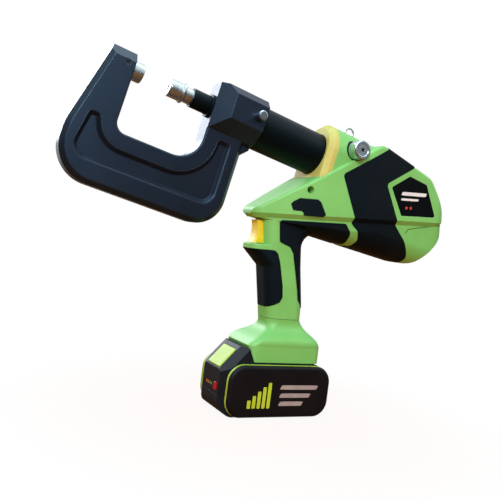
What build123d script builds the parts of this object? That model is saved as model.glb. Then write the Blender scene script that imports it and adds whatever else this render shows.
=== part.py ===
from build123d import *
from math import cos, pi, radians, sin, sqrt
import os

os.makedirs("parts", exist_ok=True)

# A cordless self-piercing rivet tool in millimetres: +Z up, the jaw towards -X, the user's right at +Y.
# The origin is on the battery's underside, on the table.

# Clearances
running_gap = 0.05  # radial, on turning and sliding fits
free_gap = 0.4  # round pieces that only pass each other
seat_gap = 0.3  # axial, between a moving piece and its stop
seam_gap = 0.4  # between the foot and the handle
overcut = 1.0  # by which a cut runs out of the piece
near = 0.01  # within which two places count as one

# Ram axis: it rises towards the jaw, and places along it are counted rearwards from over the battery
axis_slope = 11.65
axis_height = 276.6

# Yoke
block_rear = -47.0  # rear face of the head block
block_length = 50.0
block_half_width = 25.0
block_top = 23.5
block_drop = 22.4
block_bevel = 14.0  # front and bottom edges
block_top_bevel = 7.5
web_thickness = 22.0
web_bevel = 4.5
throat_width = 81.4
throat_depth = 59.0  # ram axis to throat floor
throat_front_radius = 10.0
throat_rear_radius = 25.0
throat_bevel = 1.2
rear_arm_width = 42.0
floor_beam = 53.5  # throat floor to underside
front_arm_root = 41.8
front_arm_tip = 22.3
front_arm_knee = 7.0  # below the throat floor
knee_radius = 60.0
tip_rise = 15.0
tip_bevel = 10.0
toe_radius = 34.0
heel_radius = 30.0
gusset = 8.0
gusset_drop = 12.0  # below the head block

# Pocket on each side of the yoke's web
pocket_rim = 14.0  # round the throat
pocket_front_rim = 8.5
pocket_rear_rim = 13.0
pocket_floor_rim = 19.5
pocket_depth = 4.0
pocket_corner = 14.0
front_lobe_width = 12.0
front_lobe_rise = 10.0  # above the throat floor
rear_lobe_rise = 31.0
lobe_corner = 5.0

# Die and its grub screw
die_radius = 9.1
die_height = 9.9
die_edge = 0.8
die_stem_radius = 5.0
die_stem_length = 13.0
die_cup_radius = 5.4
die_cup_depth = 1.6
die_pip_radius = 2.2
die_pip_height = 0.9
grub_radius = 3.0
grub_setback = 7.8  # behind the arm's inner face
grub_rise = 2.5
grub_length = 5.0
grub_socket = 1.6
grub_socket_depth = 2.0

# Ram, punch and nosepiece
jaw_opening = 26.6
rod_radius = 9.25
rod_socket_depth = 21.0
nose_length = 24.0  # in front of the rod end
nose_cap_length = 12.0
nose_cap_radius = 8.6
nose_edge = 1.0
nose_ring_length = 4.0
nose_ring_radius = 9.7
nose_skirt_radius = 7.6
nose_skirt_length = 9.5  # inside the rod end
nose_wall = 5.0
nose_bore_radius = 2.75
nose_pocket_radius = 5.6
punch_radius = 2.65
punch_setback = 8.0  # tip behind the nosepiece's face
punch_foot_length = 3.0
piston_length = 18.0
piston_setback = 2.0  # in front of the pump block
piston_gap = 0.05
seal_width = 4.0
seal_depth = 2.4

# Hydraulic cylinder
barrel_radius = 22.0
barrel_rear = 46.0
bore_radius = 15.0
spigot_radius = 20.0
spigot_wall = 12.0  # front wall of the head block
gland_length = 9.7  # front wall of the cylinder
rod_seal_depth = 2.0
lock_groove_width = 6.4
lock_groove_depth = 2.5
return_wire = 3.0
return_turns = 6
nose_wire = 1.2
nose_turns = 5

# Lock pin on the left of the head block
pin_setback = 8.6  # in front of the block's rear face
pin_rise = 4.0
pin_head_radius = 4.8
pin_head_length = 9.7
pin_head_edge = 1.0
pin_shank_radius = 2.9
pin_bite = 1.6  # into the groove

# Rod guide
guide_collar_radius = 11.4
guide_collar_length = 2.5
guide_radius = 10.9

# Pump block, gearbox and motor
pump_length = 38.0
pump_half_width = 21.0
pump_top = 20.0
pump_bottom = 26.0
pump_edge = 5.0
pump_plate = 8.0  # bearing plate at the rear
pump_plate_drop = 61.0
oil_port_radius = 4.0
motor_drop = 40.0  # motor axis below the ram axis
motor_radius = 22.0
motor_length = 56.0
motor_wall = 2.5
motor_cap = 4.0
rotor_radius = 16.0
rotor_length = 38.0
shaft_radius = 2.5
shaft_bite = 10.0  # in the gearbox and in the motor's rear cap
gearbox_radius = 21.0
gearbox_length = 30.0
cam_shaft_radius = 6.0
cam_shaft_bite = 12.0
cam_radius = 9.0
cam_throw = 1.6
cam_length = 12.0
cam_setback = 22.0  # cam centre in front of the bearing plate's rear face
plunger_radius = 4.0
plunger_bite = 10.0
tank_length = 54.0
tank_top = 18.0
tank_bottom = 12.0
tank_half_width = 19.0
tank_edge = 6.0

# Relief valve knob on the left of the hump
knob_place = 58.0  # along the ram axis
knob_rise = 13.5
knob_radius = 7.6
knob_edge = 0.8
knob_reach = 43.0  # face of the knob from the middle plane
knob_depth = 18.0
knob_pin_hole = 1.6
knob_stem_radius = 4.0
knob_stem_length = 12.0
liner_radius = 10.4
liner_wall = 1.3

# Housing, main body
wall = 3.0
nose_x = -41.0
nose_bottom = 195.0
nose_height = 9.8
nose_half_width = 16.0
nose_plan_radius = 15.5
nose_trim = 1.0  # cut off the rounded plan by the flat front
nose_low_radius = 3.2
nose_tip_radius = 5.0
spine_x = 90.0
spine_z = 289.5
spine_radius = 10.0
tail_top_x = 161.5
tail_top_z = 264.4
tail_top_radius = 22.0
tail_back_x = 185.6
tail_back_z = 232.4
tail_back_radius = 25.0
tail_x = 196.6
tail_z = 213.2
tail_radius = 18.0
tail_low_x = 184.6
tail_low_z = 195.9
tail_low_radius = 20.0
belly_rear_x = 159.1
belly_rear_z = 167.0
belly_rear_radius = 14.0
belly_front_x = 40.0
belly_front_z = 185.3
belly_front_radius = 30.0
chin_x = 8.0
chin_radius = 30.0
body_half_width = 37.0
taper_x = 20.0  # where the sides bend, and where they stop widening
taper_half_width = 30.5
taper_end = 90.0
taper_radius = 300.0
tail_plan_radius = 23.5
shoulder_round = 3.0
ledge_nose_z = 200.8  # lower edge of the sides, at the nose and at the tail
ledge_tail_z = 219.1
ledge_bevel = 4.6
bevel_angle = 45.0  # of the ledge's bevel
belly_round = 24.0
belly_trim = 0.2  # cut off the side outline by the round underside

# Hump over the cylinder, and the collar before it
hump_radius = 30.0
hump_rise = 4.5  # centre of its arch above the ram axis
hump_end = 104.0
hump_drop = 40.0
hump_end_round = 8.0
collar_front = 28.0
collar_length = 10.0
collar_bevel = 5.0
collar_drop = 34.0

# Handle
grip_half_width = 17.5
grip_round = 12.0
grip_bend = 40.0
neck_z = 97.0
grip_front_neck = -9.6
grip_back_neck = 30.7
grip_low_z = 112.0
grip_front_low = -12.0
grip_back_low = 30.4
grip_top_z = 151.0
grip_front_top = -19.4
grip_back_top = 23.8
pillar_front = -28.0
web_x = 19.5
web_z = 187.0
web_radius = 14.0
handle_overlap = 9.5  # into the body
shelf_tip = -37.5
shelf_edge = 5.5
shelf_lip_round = 1.5
shelf_half_width = 15.5
shelf_corner = 11.0
shelf_root = 5.0  # inner end, within the handle
flare_z = 149.0
flare_sink = 0.3  # lower end of the flare below the handle's surface

# Rubber mouldings
rubber_depth = 1.6
rubber_proud = 0.4
side_panel_corner = 4.0
grip_corner = 3.0
side_panel_outline = [(100, 310), (97, 285.5), (46, 251.5), (66, 209.5), (66, 203), (74, 196.5), (79, 187),
                      (78, 155), (150, 155), (148, 175), (136, 193), (122, 207.5), (119.5, 213.5),
                      (99.8, 249.6), (133.5, 271.5), (143, 310)]
belly_grip_outline = [(-12.5, 196.8), (-9.2, 174.8), (3.6, 170.8), (8, 165), (18.4, 128), (20.6, 117.5),
                      (28.5, 109), (50, 109), (50, 150), (58, 160), (74, 160), (69.5, 181), (66.5, 193),
                      (59.5, 202)]
front_grip_outline = [(-50, 164.8), (-13, 165.8), (-9.5, 163), (-6, 154.5), (0.4, 131), (2, 119.5),
                      (-0.5, 114), (-10, 108.5), (-22, 102.5), (-50, 98)]

# Label plate on the left of the tail
plate_depth = 1.2
label_corner = 2.0
label_outline = [(129.7, 262.2), (154.2, 256.5), (171.7, 222.8), (124.3, 218.9), (107, 247.2)]

# Trigger and switch
trigger_half_width = 8.0
trigger_edge = 2.0
trigger_top_x = -32.0
trigger_low_x = -34.0
trigger_hollow = 2.5
trigger_back = -20.0
trigger_bottom = 171.2
trigger_top = 194.3
trigger_travel = 6.0
trigger_stem_radius = 3.0
trigger_stem_length = 11.0
switch_front = -12.0
switch_length = 26.0
switch_bottom = 172.0
switch_height = 23.0
switch_half_width = 11.0

# Release button on the left above the trigger
button_inner = 19.0  # inner end from the middle plane
button_proud = 0.8
button_outline = [(-5.6, 214), (-3.6, 216.5), (2.5, 220.5), (21.5, 221.8), (25, 219.6), (31.8, 208),
                  (29.5, 205.4), (8.7, 204.4), (8.3, 206.8), (5.8, 208.6), (-2.8, 208.2)]

# Foot
foot_bottom = 54.4
foot_step = 70.2  # top of the leading edge
foot_front = -33.2
foot_rear = 50.0
foot_half_width = 28.5
foot_corner = 8.0
foot_rake = 6.5  # how far the leading edge runs back on its way down
shoulder_z = 77.5
shoulder_front = -24.5
shoulder_rear = 46.0
shoulder_half_width = 27.5
waist_z = 85.5
waist_front = -11.0
waist_rear = 37.5
waist_half_width = 19.5
foot_well_front = -5.5
foot_well_length = 32.0
foot_well_half_width = 13.5
terminal_bottom = 55.8
terminal_height = 14.0
terminal_length = 31.0
board_thickness = 1.6
board_length = 31.0
capacitor_radius = 5.0
capacitor_height = 13.0

# Battery
pack_front = -58.0
pack_rear = 58.0
pack_half_width = 28.5
pack_front_half_width = 20.0
pack_corner_run = 8.0
pack_toe_radius = 14.0
pack_heel_radius = 8.0
pack_heel_top_radius = 17.0
deck_z = 54.0
slope_low_z = 44.5
slope_flat = 15.5  # half width of the slope's flat strip, which carries the latch
slope_drop = 4.0  # how far the slope falls away beside it
head_x = -37.5
head_z = 67.5
head_edge = 2.0
head_gap = 0.9  # in front of the foot's leading edge
pack_seam_z = 19.0
plate_shift = 3.7  # middle of the plates
plate_half_length = 58.2
plate_height = 52.2
plate_lift = 0.3
plate_corner = 17.0
plate_rise = 3.9  # over the trim
plate_step = 0.3  # in from the trim's edge
plate_edge = 3.5
trim_width = 1.8
trim_thickness = 2.8
rail_half_width = 22.0
rail_neck = 18.0
rail_inner = 14.0
rail_end = 42.0
rail_top = 63.0
rail_lip = 4.0
contact_width = 3.0
contact_thickness = 1.0
contact_length = 24.0
contact_pitch = 7.0
contact_count = 4
cell_radius = 9.1
cell_length = 65.2
cell_pitch = 18.9
cell_lift = 12.4
cell_rows = (3, 2)  # cells in the lower and the upper row
cell_wall = 0.4
cell_shift = 6.0  # middle of the cells
latch_half_width = 14.0
latch_length = 24.0
latch_thickness = 5.0
latch_proud = 1.0
latch_travel = 2.5
latch_shift = -1.6  # below the middle of the slope
latch_edge = 0.8
latch_corner = 2.0
charge_y = -11.5
charge_z = 27.0
charge_width = 7.0
charge_height = 7.5
charge_corner = 1.5
charge_depth = 3.0
charge_proud = 0.6
charge_travel = 1.2
light_y = 3.5
light_pitch = 3.8
light_size = 2.4
light_depth = 1.0
light_count = 4

# Hanger ring on top of the hump
ring_place = 68.3
ring_side = 8.0
ring_eye = 35.4  # above the ram axis
ring_radius = 5.2
ring_wire = 0.9
lug_thickness = 2.6
lug_half_width = 3.4
lug_sink = 4.0

# Housing screws
screw_head_radius = 3.4
screw_head_height = 2.8
screw_socket = 1.7
screw_radius = 1.5
screw_length = 19.0
screw_seat = 9.0  # seat of the head from the middle plane
boss_radius = 4.8
screw_places = [
    (12.5, 230.5, -1), (-28, 204.5, 1), (44, 192.5, 1), (184, 224.5, 1), (150, 260, 1), (7, 128, 1),
]  # X, Z and the side that the head is on

# Frames and places that follow from the sizes
rearward = Vector(cos(radians(axis_slope)), 0, -sin(radians(axis_slope)))
upward = Vector(sin(radians(axis_slope)), 0, cos(radians(axis_slope)))
ram_plane = Plane(origin=(0, 0, axis_height), x_dir=rearward, z_dir=(0, -1, 0))
motor_plane = Plane(origin=ram_plane.from_local_coords((0, -motor_drop, 0)), x_dir=rearward, z_dir=(0, -1, 0))
along = Axis((0, 0, 0), rearward)
above = Axis((0, 0, 0), upward)
block_front = block_rear - block_length
throat_front = block_front - throat_width
yoke_rear = block_front + rear_arm_width
yoke_front = throat_front - front_arm_root
yoke_bottom = -throat_depth - floor_beam
half_web = web_thickness / 2
gusset_bottom = -block_drop - gusset_drop
die_front = throat_front + die_height
nose_front = die_front + jaw_opening
rod_front = nose_front + nose_length
rod_floor = rod_front + rod_socket_depth
punch_front = nose_front + punch_setback
punch_foot_front = rod_floor - punch_foot_length
spigot_front = block_front + spigot_wall
gland_rear = spigot_front + gland_length
piston_rear = barrel_rear - piston_setback
piston_front = piston_rear - piston_length
rod_bore = rod_radius + running_gap
pin_v = block_rear - pin_setback
pump_rear = barrel_rear + pump_length
gearbox_rear = pump_rear + gearbox_length
motor_rear = gearbox_rear + motor_length
cam_v = pump_rear - cam_setback
collar_rear = collar_front + collar_length
shelf_top = trigger_bottom - free_gap
ledge_rise = Vector(tail_x - nose_x, 0, ledge_tail_z - ledge_nose_z)
ledge_z = ledge_nose_z - ledge_bevel - nose_x * ledge_rise.Z / ledge_rise.X
ledge_plane = Plane(origin=(0, 0, ledge_z), x_dir=ledge_rise, z_dir=(-ledge_rise.Z, 0, ledge_rise.X))
belly_run = Vector(belly_rear_x - belly_front_x, 0, belly_rear_z - belly_front_z)
belly_plane = Plane(origin=(belly_front_x, 0, belly_front_z), x_dir=(0, 1, 0), z_dir=belly_run)


def at_y(plane, y):
    # The same upright plane, moved to a distance y from the middle plane
    return plane.offset(-y)


def across(v):
    # Plane across the ram axis: x towards +Y, y away from the table, facing rearwards
    return Plane(origin=ram_plane.from_local_coords((v, 0, 0)), x_dir=(0, 1, 0), z_dir=rearward)


def outline(plane, *points, radii=None, grow=0):
    # Closed outline on a plane, with its corners rounded and the whole grown where asked
    with BuildSketch(plane) as shape:
        with BuildLine():
            if radii:
                FilletPolyline(*points, radius=radii, close=True)
            else:
                Polyline(*points, close=True)
        make_face()
        if grow:
            offset(amount=grow, kind=Kind.INTERSECTION)
    return shape.sketch


def disc(plane, x, y, radius):
    # Round outline on a plane
    with BuildSketch(plane) as shape:
        with Locations((x, y)):
            Circle(radius)
    return shape.sketch


def slab(plane, x, y, width, height, corner=0, grow=0):
    # Rectangle centred on a place in a plane, with rounded corners where asked
    with BuildSketch(plane) as shape:
        with Locations((x, y)):
            if corner:
                RectangleRounded(width, height, corner)
            else:
                Rectangle(width, height)
        if grow:
            offset(amount=grow)
    return shape.sketch


def spin(plane):
    # Axis of a turned piece whose profile is drawn along and out from the plane's x
    return Axis(plane.origin, plane.x_dir)


def save(piece, name):
    piece.label = name
    export_step(piece, f"parts/{name}.step")


# Yoke: a bevelled C-shaped web, pocketed on both sides, with the head block that turns on the cylinder
with BuildPart() as head_block:
    middle = (block_front + block_rear) / 2
    extrude(slab(ram_plane, middle, (block_top - block_drop) / 2, block_length, block_top + block_drop),
            amount=block_half_width, both=True)
    front_face = head_block.faces().sort_by(along)[0]
    chamfer(front_face.edges().filter_by(above), block_bevel)
    under_face = head_block.faces().sort_by(above)[0]
    chamfer(under_face.edges().filter_by(along), block_bevel)
    top_face = head_block.faces().sort_by(above)[-1]
    chamfer(top_face.edges().filter_by(along), block_top_bevel)


def is_throat_rim(edge):
    # Edges of the web's two faces that follow the throat
    place = ram_plane.to_local_coords(edge.center())
    on_face = abs(abs(place.Z) - half_web) < near
    in_throat = throat_front - near < place.X < block_front + near
    return on_face and in_throat and place.Y > -throat_depth - near


with BuildPart() as c_frame:
    extrude(outline(ram_plane,
                    (throat_front - front_arm_tip, tip_rise), (yoke_front, -throat_depth - front_arm_knee),
                    (yoke_front, yoke_bottom), (yoke_rear, yoke_bottom), (yoke_rear, tip_rise),
                    radii=[0, knee_radius, toe_radius, heel_radius, 0]),
            amount=half_web, both=True)
    rim = c_frame.faces().filter_by(Axis.Y).edges().sort_by(above)[:-2]
    chamfer(rim, web_bevel)
    extrude(outline(ram_plane,
                    (throat_front, -throat_depth), (block_front, -throat_depth),
                    (block_front, tip_rise + overcut), (throat_front, tip_rise + overcut),
                    radii=[throat_front_radius, throat_rear_radius, 0, 0]),
            amount=web_thickness, both=True, mode=Mode.SUBTRACT)
    chamfer(c_frame.edges().filter_by(is_throat_rim), throat_bevel)
    for side in (-1, 1):
        corner = side * half_web
        extrude(outline(across(yoke_front), (corner, tip_rise - tip_bevel), (corner, tip_rise),
                        (corner - side * tip_bevel, tip_rise)),
                amount=throat_front - yoke_front + overcut, mode=Mode.SUBTRACT)
    extrude(outline(ram_plane,
                    (yoke_rear - gusset, gusset_bottom), (yoke_rear, gusset_bottom),
                    (yoke_rear + gusset, gusset_bottom + gusset), (yoke_rear + gusset, -block_drop),
                    (yoke_rear - gusset, -block_drop)),
            amount=half_web - web_bevel, both=True)
    add(head_block.part)
    for side in (-1, 1):
        extrude(outline(ram_plane.offset(side * half_web),
                        (throat_front - pocket_rim - front_lobe_width, -throat_depth + front_lobe_rise),
                        (throat_front - pocket_rim, -throat_depth + front_lobe_rise),
                        (throat_front - pocket_rim, -throat_depth - pocket_rim),
                        (block_front + pocket_rim, -throat_depth - pocket_rim),
                        (block_front + pocket_rim, -throat_depth + rear_lobe_rise),
                        (yoke_rear - pocket_rear_rim, -throat_depth + rear_lobe_rise),
                        (yoke_rear - pocket_rear_rim, yoke_bottom + pocket_floor_rim),
                        (yoke_front + pocket_front_rim, yoke_bottom + pocket_floor_rim),
                        radii=[lobe_corner, lobe_corner, throat_front_radius + pocket_rim,
                               throat_rear_radius + pocket_rim, lobe_corner, lobe_corner,
                               pocket_corner, pocket_corner]),
                amount=-side * pocket_depth, mode=Mode.SUBTRACT)
    revolve(outline(ram_plane,
                    (block_front - overcut, 0), (block_front - overcut, guide_radius),
                    (spigot_front, guide_radius), (spigot_front, spigot_radius + running_gap),
                    (block_rear + overcut, spigot_radius + running_gap), (block_rear + overcut, 0)),
            axis=spin(ram_plane), mode=Mode.SUBTRACT)
    extrude(disc(across(throat_front - die_stem_length), 0, 0, die_stem_radius),
            amount=die_stem_length + overcut, mode=Mode.SUBTRACT)
    extrude(disc(ram_plane, throat_front - grub_setback, grub_rise, grub_radius),
            amount=web_thickness, mode=Mode.SUBTRACT)
    extrude(disc(ram_plane, pin_v, pin_rise, pin_shank_radius + running_gap),
            amount=2 * block_half_width, mode=Mode.SUBTRACT)
save(c_frame.part, "c_frame")

with BuildPart() as die:
    cup_floor = die_front - die_cup_depth
    revolve(outline(ram_plane,
                    (throat_front - die_stem_length, 0), (throat_front - die_stem_length, die_stem_radius),
                    (throat_front, die_stem_radius), (throat_front, die_radius),
                    (die_front - die_edge, die_radius), (die_front, die_radius - die_edge),
                    (die_front, die_cup_radius), (cup_floor, die_cup_radius - die_edge),
                    (cup_floor, die_pip_radius), (cup_floor + die_pip_height, 0)),
            axis=spin(ram_plane))
save(die.part, "die")

with BuildPart() as die_set_screw:
    grub_end = die_stem_radius + running_gap
    grub_plane = ram_plane.offset(grub_end)
    extrude(disc(grub_plane, throat_front - grub_setback, grub_rise, grub_radius), amount=grub_length)
    with BuildSketch(grub_plane.offset(grub_length)):
        with Locations((throat_front - grub_setback, grub_rise)):
            RegularPolygon(grub_socket, 6)
    extrude(amount=-grub_socket_depth, mode=Mode.SUBTRACT)
save(die_set_screw.part, "die_set_screw")

with BuildPart() as rod_guide:
    guide_front = block_front - guide_collar_length
    revolve(outline(ram_plane,
                    (guide_front, rod_bore), (guide_front, guide_collar_radius),
                    (block_front, guide_collar_radius), (block_front, guide_radius),
                    (spigot_front, guide_radius), (spigot_front, rod_bore)),
            axis=spin(ram_plane))
save(rod_guide.part, "rod_guide")

with BuildPart() as lock_pin:
    tip = spigot_radius - pin_bite
    head = block_half_width + seat_gap
    extrude(disc(ram_plane.offset(tip), pin_v, pin_rise, pin_shank_radius), amount=head - tip)
    extrude(disc(ram_plane.offset(head), pin_v, pin_rise, pin_head_radius), amount=pin_head_length)
    chamfer(lock_pin.faces().sort_by(Axis.Y)[0].edges(), pin_head_edge)
save(lock_pin.part, "lock_pin")

# Ram: hollow in front for the nosepiece, with the piston at its rear
with BuildPart() as ram:
    piston_radius = bore_radius - piston_gap
    seal_start = (piston_front + piston_rear - seal_width) / 2
    seal_end = seal_start + seal_width
    seal_floor = piston_radius - seal_depth
    revolve(outline(ram_plane,
                    (rod_front, nose_skirt_radius + running_gap), (rod_front, rod_radius),
                    (piston_front, rod_radius), (piston_front, piston_radius),
                    (seal_start, piston_radius), (seal_start, seal_floor),
                    (seal_end, seal_floor), (seal_end, piston_radius), (piston_rear, piston_radius),
                    (piston_rear, 0), (rod_floor, 0), (rod_floor, nose_skirt_radius + running_gap)),
            axis=spin(ram_plane))
save(ram.part, "ram")

with BuildPart() as piston_seal:
    revolve(outline(ram_plane,
                    (seal_start, seal_floor), (seal_start, piston_radius),
                    (seal_end, piston_radius), (seal_end, seal_floor)),
            axis=spin(ram_plane))
save(piston_seal.part, "piston_seal")

with BuildPart() as punch:
    revolve(outline(ram_plane,
                    (punch_front, 0), (punch_front, punch_radius), (punch_foot_front, punch_radius),
                    (punch_foot_front, nose_skirt_radius), (rod_floor, nose_skirt_radius), (rod_floor, 0)),
            axis=spin(ram_plane))
save(punch.part, "punch")

with BuildPart() as nosepiece:
    cap_rear = nose_front + nose_cap_length
    ring_rear = cap_rear + nose_ring_length
    skirt_rear = rod_front + nose_skirt_length
    revolve(outline(ram_plane,
                    (nose_front, nose_bore_radius), (nose_front, nose_cap_radius - nose_edge),
                    (nose_front + nose_edge, nose_cap_radius), (cap_rear, nose_cap_radius),
                    (cap_rear, nose_ring_radius - nose_edge), (cap_rear + nose_edge, nose_ring_radius),
                    (ring_rear - nose_edge, nose_ring_radius), (ring_rear, nose_ring_radius - nose_edge),
                    (ring_rear, nose_skirt_radius), (skirt_rear, nose_skirt_radius),
                    (skirt_rear, nose_pocket_radius), (nose_front + nose_wall, nose_pocket_radius),
                    (nose_front + nose_wall, nose_bore_radius)),
            axis=spin(ram_plane))
save(nosepiece.part, "nosepiece")


def coil_arcs(base, length, turns, radius):
    # Helix round a plane's z axis: two tangent arcs for each half turn
    rise = length / (2 * turns)

    def spot(half_turns):
        angle = pi * half_turns
        return base.from_local_coords((radius * cos(angle), radius * sin(angle), rise * half_turns))

    def heading(half_turns):
        angle = pi * half_turns
        local = Vector(-pi * radius * sin(angle), pi * radius * cos(angle), rise).normalized()
        return base.from_local_coords(local) - base.origin

    for half_turn in range(2 * turns):
        start, end = spot(half_turn), spot(half_turn + 1)
        leaving, arriving = heading(half_turn), heading(half_turn + 1)
        chord = end - start
        a = 2 * leaving.dot(arriving) - 2
        b = -2 * chord.dot(leaving + arriving)
        reach = (-b - sqrt(b * b - 4 * a * chord.dot(chord))) / (2 * a)
        first = start + leaving * reach
        second = end - arriving * reach
        meeting = (first + second) * 0.5
        TangentArc(start, meeting, tangent=leaving)
        TangentArc(meeting, end, tangent=second - first)


# Return spring of the ram, of rectangular wire, between the cylinder's front wall and the piston
with BuildPart() as return_spring:
    return_radius = (rod_radius + bore_radius) / 2
    return_length = piston_front - gland_rear - return_wire - 2 * seat_gap
    with BuildLine() as return_path:
        coil_arcs(across(gland_rear + return_wire / 2 + seat_gap), return_length, return_turns, return_radius)
    with BuildSketch(Plane(origin=return_path.line @ 0, x_dir=rearward, z_dir=return_path.line % 0)):
        Rectangle(return_wire, return_wire)
    sweep()
save(return_spring.part, "return_spring")

with BuildPart() as nosepiece_spring:
    nose_coil_radius = (punch_radius + nose_pocket_radius) / 2
    nose_coil_front = nose_front + nose_wall + nose_wire / 2 + seat_gap
    nose_coil_length = punch_foot_front - nose_coil_front - nose_wire / 2 - seat_gap
    with BuildLine() as nose_path:
        coil_arcs(across(nose_coil_front), nose_coil_length, nose_turns, nose_coil_radius)
    with BuildSketch(Plane(origin=nose_path.line @ 0, x_dir=rearward, z_dir=nose_path.line % 0)):
        Rectangle(nose_wire, nose_wire)
    sweep()
save(nosepiece_spring.part, "nosepiece_spring")

# Cylinder: its grooved front end is the spigot that the yoke turns on
with BuildPart() as cylinder_barrel:
    spigot_end = spigot_front + seat_gap
    shoulder = block_rear + seat_gap
    groove_front = pin_v - lock_groove_width / 2
    groove_rear = pin_v + lock_groove_width / 2
    groove_radius = spigot_radius - lock_groove_depth
    seal_front = (spigot_end + gland_rear - seal_width) / 2
    seal_rear = seal_front + seal_width
    seal_top = rod_bore + rod_seal_depth
    revolve(outline(ram_plane,
                    (spigot_end, rod_bore), (spigot_end, spigot_radius), (groove_front, spigot_radius),
                    (groove_front, groove_radius), (groove_rear, groove_radius), (groove_rear, spigot_radius),
                    (shoulder, spigot_radius), (shoulder, barrel_radius), (barrel_rear, barrel_radius),
                    (barrel_rear, bore_radius), (gland_rear, bore_radius), (gland_rear, rod_bore),
                    (seal_rear, rod_bore), (seal_rear, seal_top),
                    (seal_front, seal_top), (seal_front, rod_bore)),
            axis=spin(ram_plane))
save(cylinder_barrel.part, "cylinder_barrel")

with BuildPart() as rod_seal:
    revolve(outline(ram_plane,
                    (seal_front, rod_bore), (seal_front, seal_top),
                    (seal_rear, seal_top), (seal_rear, rod_bore)),
            axis=spin(ram_plane))
save(rod_seal.part, "rod_seal")

# Pump block: closes the cylinder, with the valve bore on its left and the bearing plate of the cam shaft
with BuildPart() as pump_block:
    block_middle = (barrel_rear + pump_rear) / 2
    extrude(slab(ram_plane, block_middle, (pump_top - pump_bottom) / 2, pump_length, pump_top + pump_bottom),
            amount=pump_half_width, both=True)
    chamfer(pump_block.faces().sort_by(above)[-1].edges().filter_by(along), pump_edge)
    extrude(slab(ram_plane, pump_rear - pump_plate / 2, -(pump_bottom + pump_plate_drop) / 2,
                 pump_plate, pump_plate_drop - pump_bottom),
            amount=pump_half_width, both=True)
    extrude(disc(across(barrel_rear), 0, 0, oil_port_radius), amount=pump_length / 2, mode=Mode.SUBTRACT)
    extrude(disc(ram_plane.offset(pump_half_width), knob_place, knob_rise, knob_stem_radius + running_gap),
            amount=-knob_stem_length, mode=Mode.SUBTRACT)
    extrude(disc(across(pump_rear - pump_plate), 0, -motor_drop, cam_shaft_radius + running_gap),
            amount=pump_plate, mode=Mode.SUBTRACT)
    plunger_top = -pump_bottom + plunger_bite
    plunger_axis = Axis(ram_plane.from_local_coords((cam_v, 0, 0)), upward)
    revolve(outline(ram_plane,
                    (cam_v, -pump_bottom - overcut), (cam_v + plunger_radius, -pump_bottom - overcut),
                    (cam_v + plunger_radius, plunger_top), (cam_v, plunger_top)),
            axis=plunger_axis, mode=Mode.SUBTRACT)
save(pump_block.part, "pump_block")

with BuildPart() as pump_plunger:
    plunger_low = -motor_drop + cam_throw + cam_radius + seat_gap
    revolve(outline(ram_plane,
                    (cam_v, plunger_low), (cam_v + plunger_radius, plunger_low),
                    (cam_v + plunger_radius, plunger_top), (cam_v, plunger_top)),
            axis=plunger_axis)
save(pump_plunger.part, "pump_plunger")

with BuildPart() as cam_shaft:
    cam_front = cam_v - cam_length / 2
    extrude(disc(across(cam_front), 0, -motor_drop, cam_shaft_radius),
            amount=pump_rear + cam_shaft_bite - cam_front)
    extrude(disc(across(cam_front), 0, -motor_drop + cam_throw, cam_radius), amount=cam_length)
save(cam_shaft.part, "cam_shaft")

with BuildPart() as gearbox:
    revolve(outline(motor_plane,
                    (pump_rear, cam_shaft_radius + running_gap), (pump_rear, gearbox_radius),
                    (gearbox_rear, gearbox_radius), (gearbox_rear, shaft_radius + running_gap),
                    (gearbox_rear - shaft_bite - seat_gap, shaft_radius + running_gap),
                    (gearbox_rear - shaft_bite - seat_gap, 0), (pump_rear + cam_shaft_bite + seat_gap, 0),
                    (pump_rear + cam_shaft_bite + seat_gap, cam_shaft_radius + running_gap)),
            axis=spin(motor_plane))
save(gearbox.part, "gearbox")

with BuildPart() as motor_can:
    can_bore = motor_radius - motor_wall
    shaft_bore = shaft_radius + running_gap
    front_cap = gearbox_rear + motor_cap
    rear_cap = motor_rear - shaft_bite
    revolve(outline(motor_plane,
                    (gearbox_rear, shaft_bore), (gearbox_rear, motor_radius),
                    (motor_rear, motor_radius), (motor_rear, 0), (motor_rear - motor_cap, 0),
                    (motor_rear - motor_cap, shaft_bore), (rear_cap, shaft_bore),
                    (rear_cap, can_bore), (front_cap, can_bore), (front_cap, shaft_bore)),
            axis=spin(motor_plane))
save(motor_can.part, "motor_can")

with BuildPart() as motor_rotor:
    rotor_front = (front_cap + rear_cap - rotor_length) / 2
    rotor_rear = rotor_front + rotor_length
    shaft_end = motor_rear - motor_cap - seat_gap
    revolve(outline(motor_plane,
                    (gearbox_rear - shaft_bite, 0), (gearbox_rear - shaft_bite, shaft_radius),
                    (rotor_front, shaft_radius), (rotor_front, rotor_radius),
                    (rotor_rear, rotor_radius), (rotor_rear, shaft_radius),
                    (shaft_end, shaft_radius), (shaft_end, 0)),
            axis=spin(motor_plane))
save(motor_rotor.part, "motor_rotor")

with BuildPart() as oil_reservoir:
    extrude(slab(ram_plane, pump_rear + tank_length / 2, (tank_top - tank_bottom) / 2,
                 tank_length, tank_top + tank_bottom),
            amount=tank_half_width, both=True)
    fillet(oil_reservoir.edges().filter_by(along), tank_edge)
save(oil_reservoir.part, "oil_reservoir")


# Housing forms: each can be drawn inset by a depth, for walls and for the rubber let into them
def side_outline(inset):
    # Main body from the side
    return outline(Plane.XZ,
                   (nose_x, nose_bottom), (nose_x, nose_bottom + nose_height), (spine_x, spine_z),
                   (tail_top_x, tail_top_z), (tail_back_x, tail_back_z), (tail_x, tail_z),
                   (tail_low_x, tail_low_z), (belly_rear_x, belly_rear_z),
                   (belly_front_x, belly_front_z), (chin_x, nose_bottom),
                   radii=[nose_low_radius, nose_tip_radius, spine_radius, tail_top_radius, tail_back_radius,
                          tail_radius, tail_low_radius, belly_rear_radius, belly_front_radius, chin_radius],
                   grow=-inset)


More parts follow.
